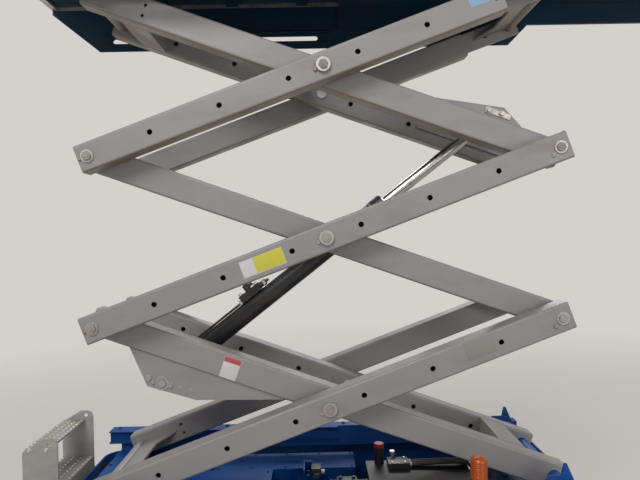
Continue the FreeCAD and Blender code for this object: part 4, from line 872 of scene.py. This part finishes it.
# Camera
forward = Vector((math.sin(YAW) * math.cos(PITCH), math.cos(YAW) * math.cos(PITCH), math.sin(PITCH)))
right = Vector((math.cos(YAW), -math.sin(YAW), 0))
up = right.cross(forward)
right_rolled = math.cos(ROLL) * right + math.sin(ROLL) * up
up_rolled = -math.sin(ROLL) * right + math.cos(ROLL) * up
camera_data = bpy.data.cameras.new("camera")
camera_data.sensor_fit = "HORIZONTAL"
camera_data.sensor_width = SENSOR_WIDTH
camera_data.lens = FOCAL_PX / IMAGE_WIDTH * SENSOR_WIDTH
camera_data.clip_end = 100
camera = show("camera", camera_data)
turn = Matrix((right_rolled, up_rolled, -forward)).transposed()
camera.matrix_world = Matrix.Translation(CAMERA) @ turn.to_4x4()
bpy.context.scene.camera = camera

# Floor that fades into the backdrop's colour with distance, in metres
BACKDROP = (0.66, 0.63, 0.6)
FADE_FROM = 1.0
FADE_TO = 7.0
bpy.ops.mesh.primitive_plane_add(size=60, location=(0, 0, 0))
floor = bpy.context.object
floor.name = "floor"
floor_look, floor_tree, floor_shader = node_tree("floor")
feed(floor_tree, floor_shader, {"Base Color": (0.64, 0.61, 0.58), "Roughness": 0.85})
distance = floor_tree.nodes.new("ShaderNodeVectorMath")
distance.operation = "LENGTH"
feed(floor_tree, distance, {0: position(floor_tree)})
fade = floor_tree.nodes.new("ShaderNodeMapRange")
fade.interpolation_type = "SMOOTHERSTEP"
feed(floor_tree, fade, {"Value": distance.outputs["Value"], "From Min": FADE_FROM, "From Max": FADE_TO})
far_glow = add_node(floor_tree, "ShaderNodeEmission", {"Color": BACKDROP})
far_mix = add_node(floor_tree, "ShaderNodeMixShader", {
    "Fac": fade.outputs["Result"], 1: floor_shader.outputs["BSDF"], 2: far_glow.outputs["Emission"]})
feed(floor_tree, floor_tree.nodes["Material Output"], {"Surface": far_mix.outputs["Shader"]})
floor.data.materials.append(floor_look)

# World: soft light on the object, and the backdrop where the camera or a reflection sees it
world = bpy.data.worlds.new("world")
bpy.context.scene.world = world
world.use_nodes = True
world_tree = world.node_tree
world_tree.nodes.clear()
ambient = add_node(world_tree, "ShaderNodeBackground", {"Color": (1, 0.98, 0.96), "Strength": 0.24})
seen = add_node(world_tree, "ShaderNodeBackground", {"Color": BACKDROP, "Strength": 1.0})
path = world_tree.nodes.new("ShaderNodeLightPath")
either = world_tree.nodes.new("ShaderNodeMath")
either.operation = "MAXIMUM"
feed(world_tree, either, {0: path.outputs["Is Camera Ray"], 1: path.outputs["Is Glossy Ray"]})
blend = add_node(world_tree, "ShaderNodeMixShader", {
    "Fac": either.outputs[0], 1: ambient.outputs[0], 2: seen.outputs[0]})
add_node(world_tree, "ShaderNodeOutputWorld", {"Surface": blend.outputs[0]})


def lamp(name, place, target, size, power):
    data = bpy.data.lights.new(name, "AREA")
    data.shape = "RECTANGLE"
    data.size = size
    data.size_y = size
    data.energy = power
    light = show(name, data)
    light.location = place
    light.rotation_euler = (Vector(target) - Vector(place)).to_track_quat("-Z", "Y").to_euler()


lamp("key", (-2.2, -4.6, 5.6), (-0.3, -0.3, 1.4), 3.0, 265)
lamp("fill", (3.2, -5.0, 2.6), (0, 0, 1.5), 3.0, 70)
lamp("back", (0.5, 5.0, 5.6), (0, 0, 1.6), 3.5, 230)

bpy.context.scene.view_settings.view_transform = "Standard"
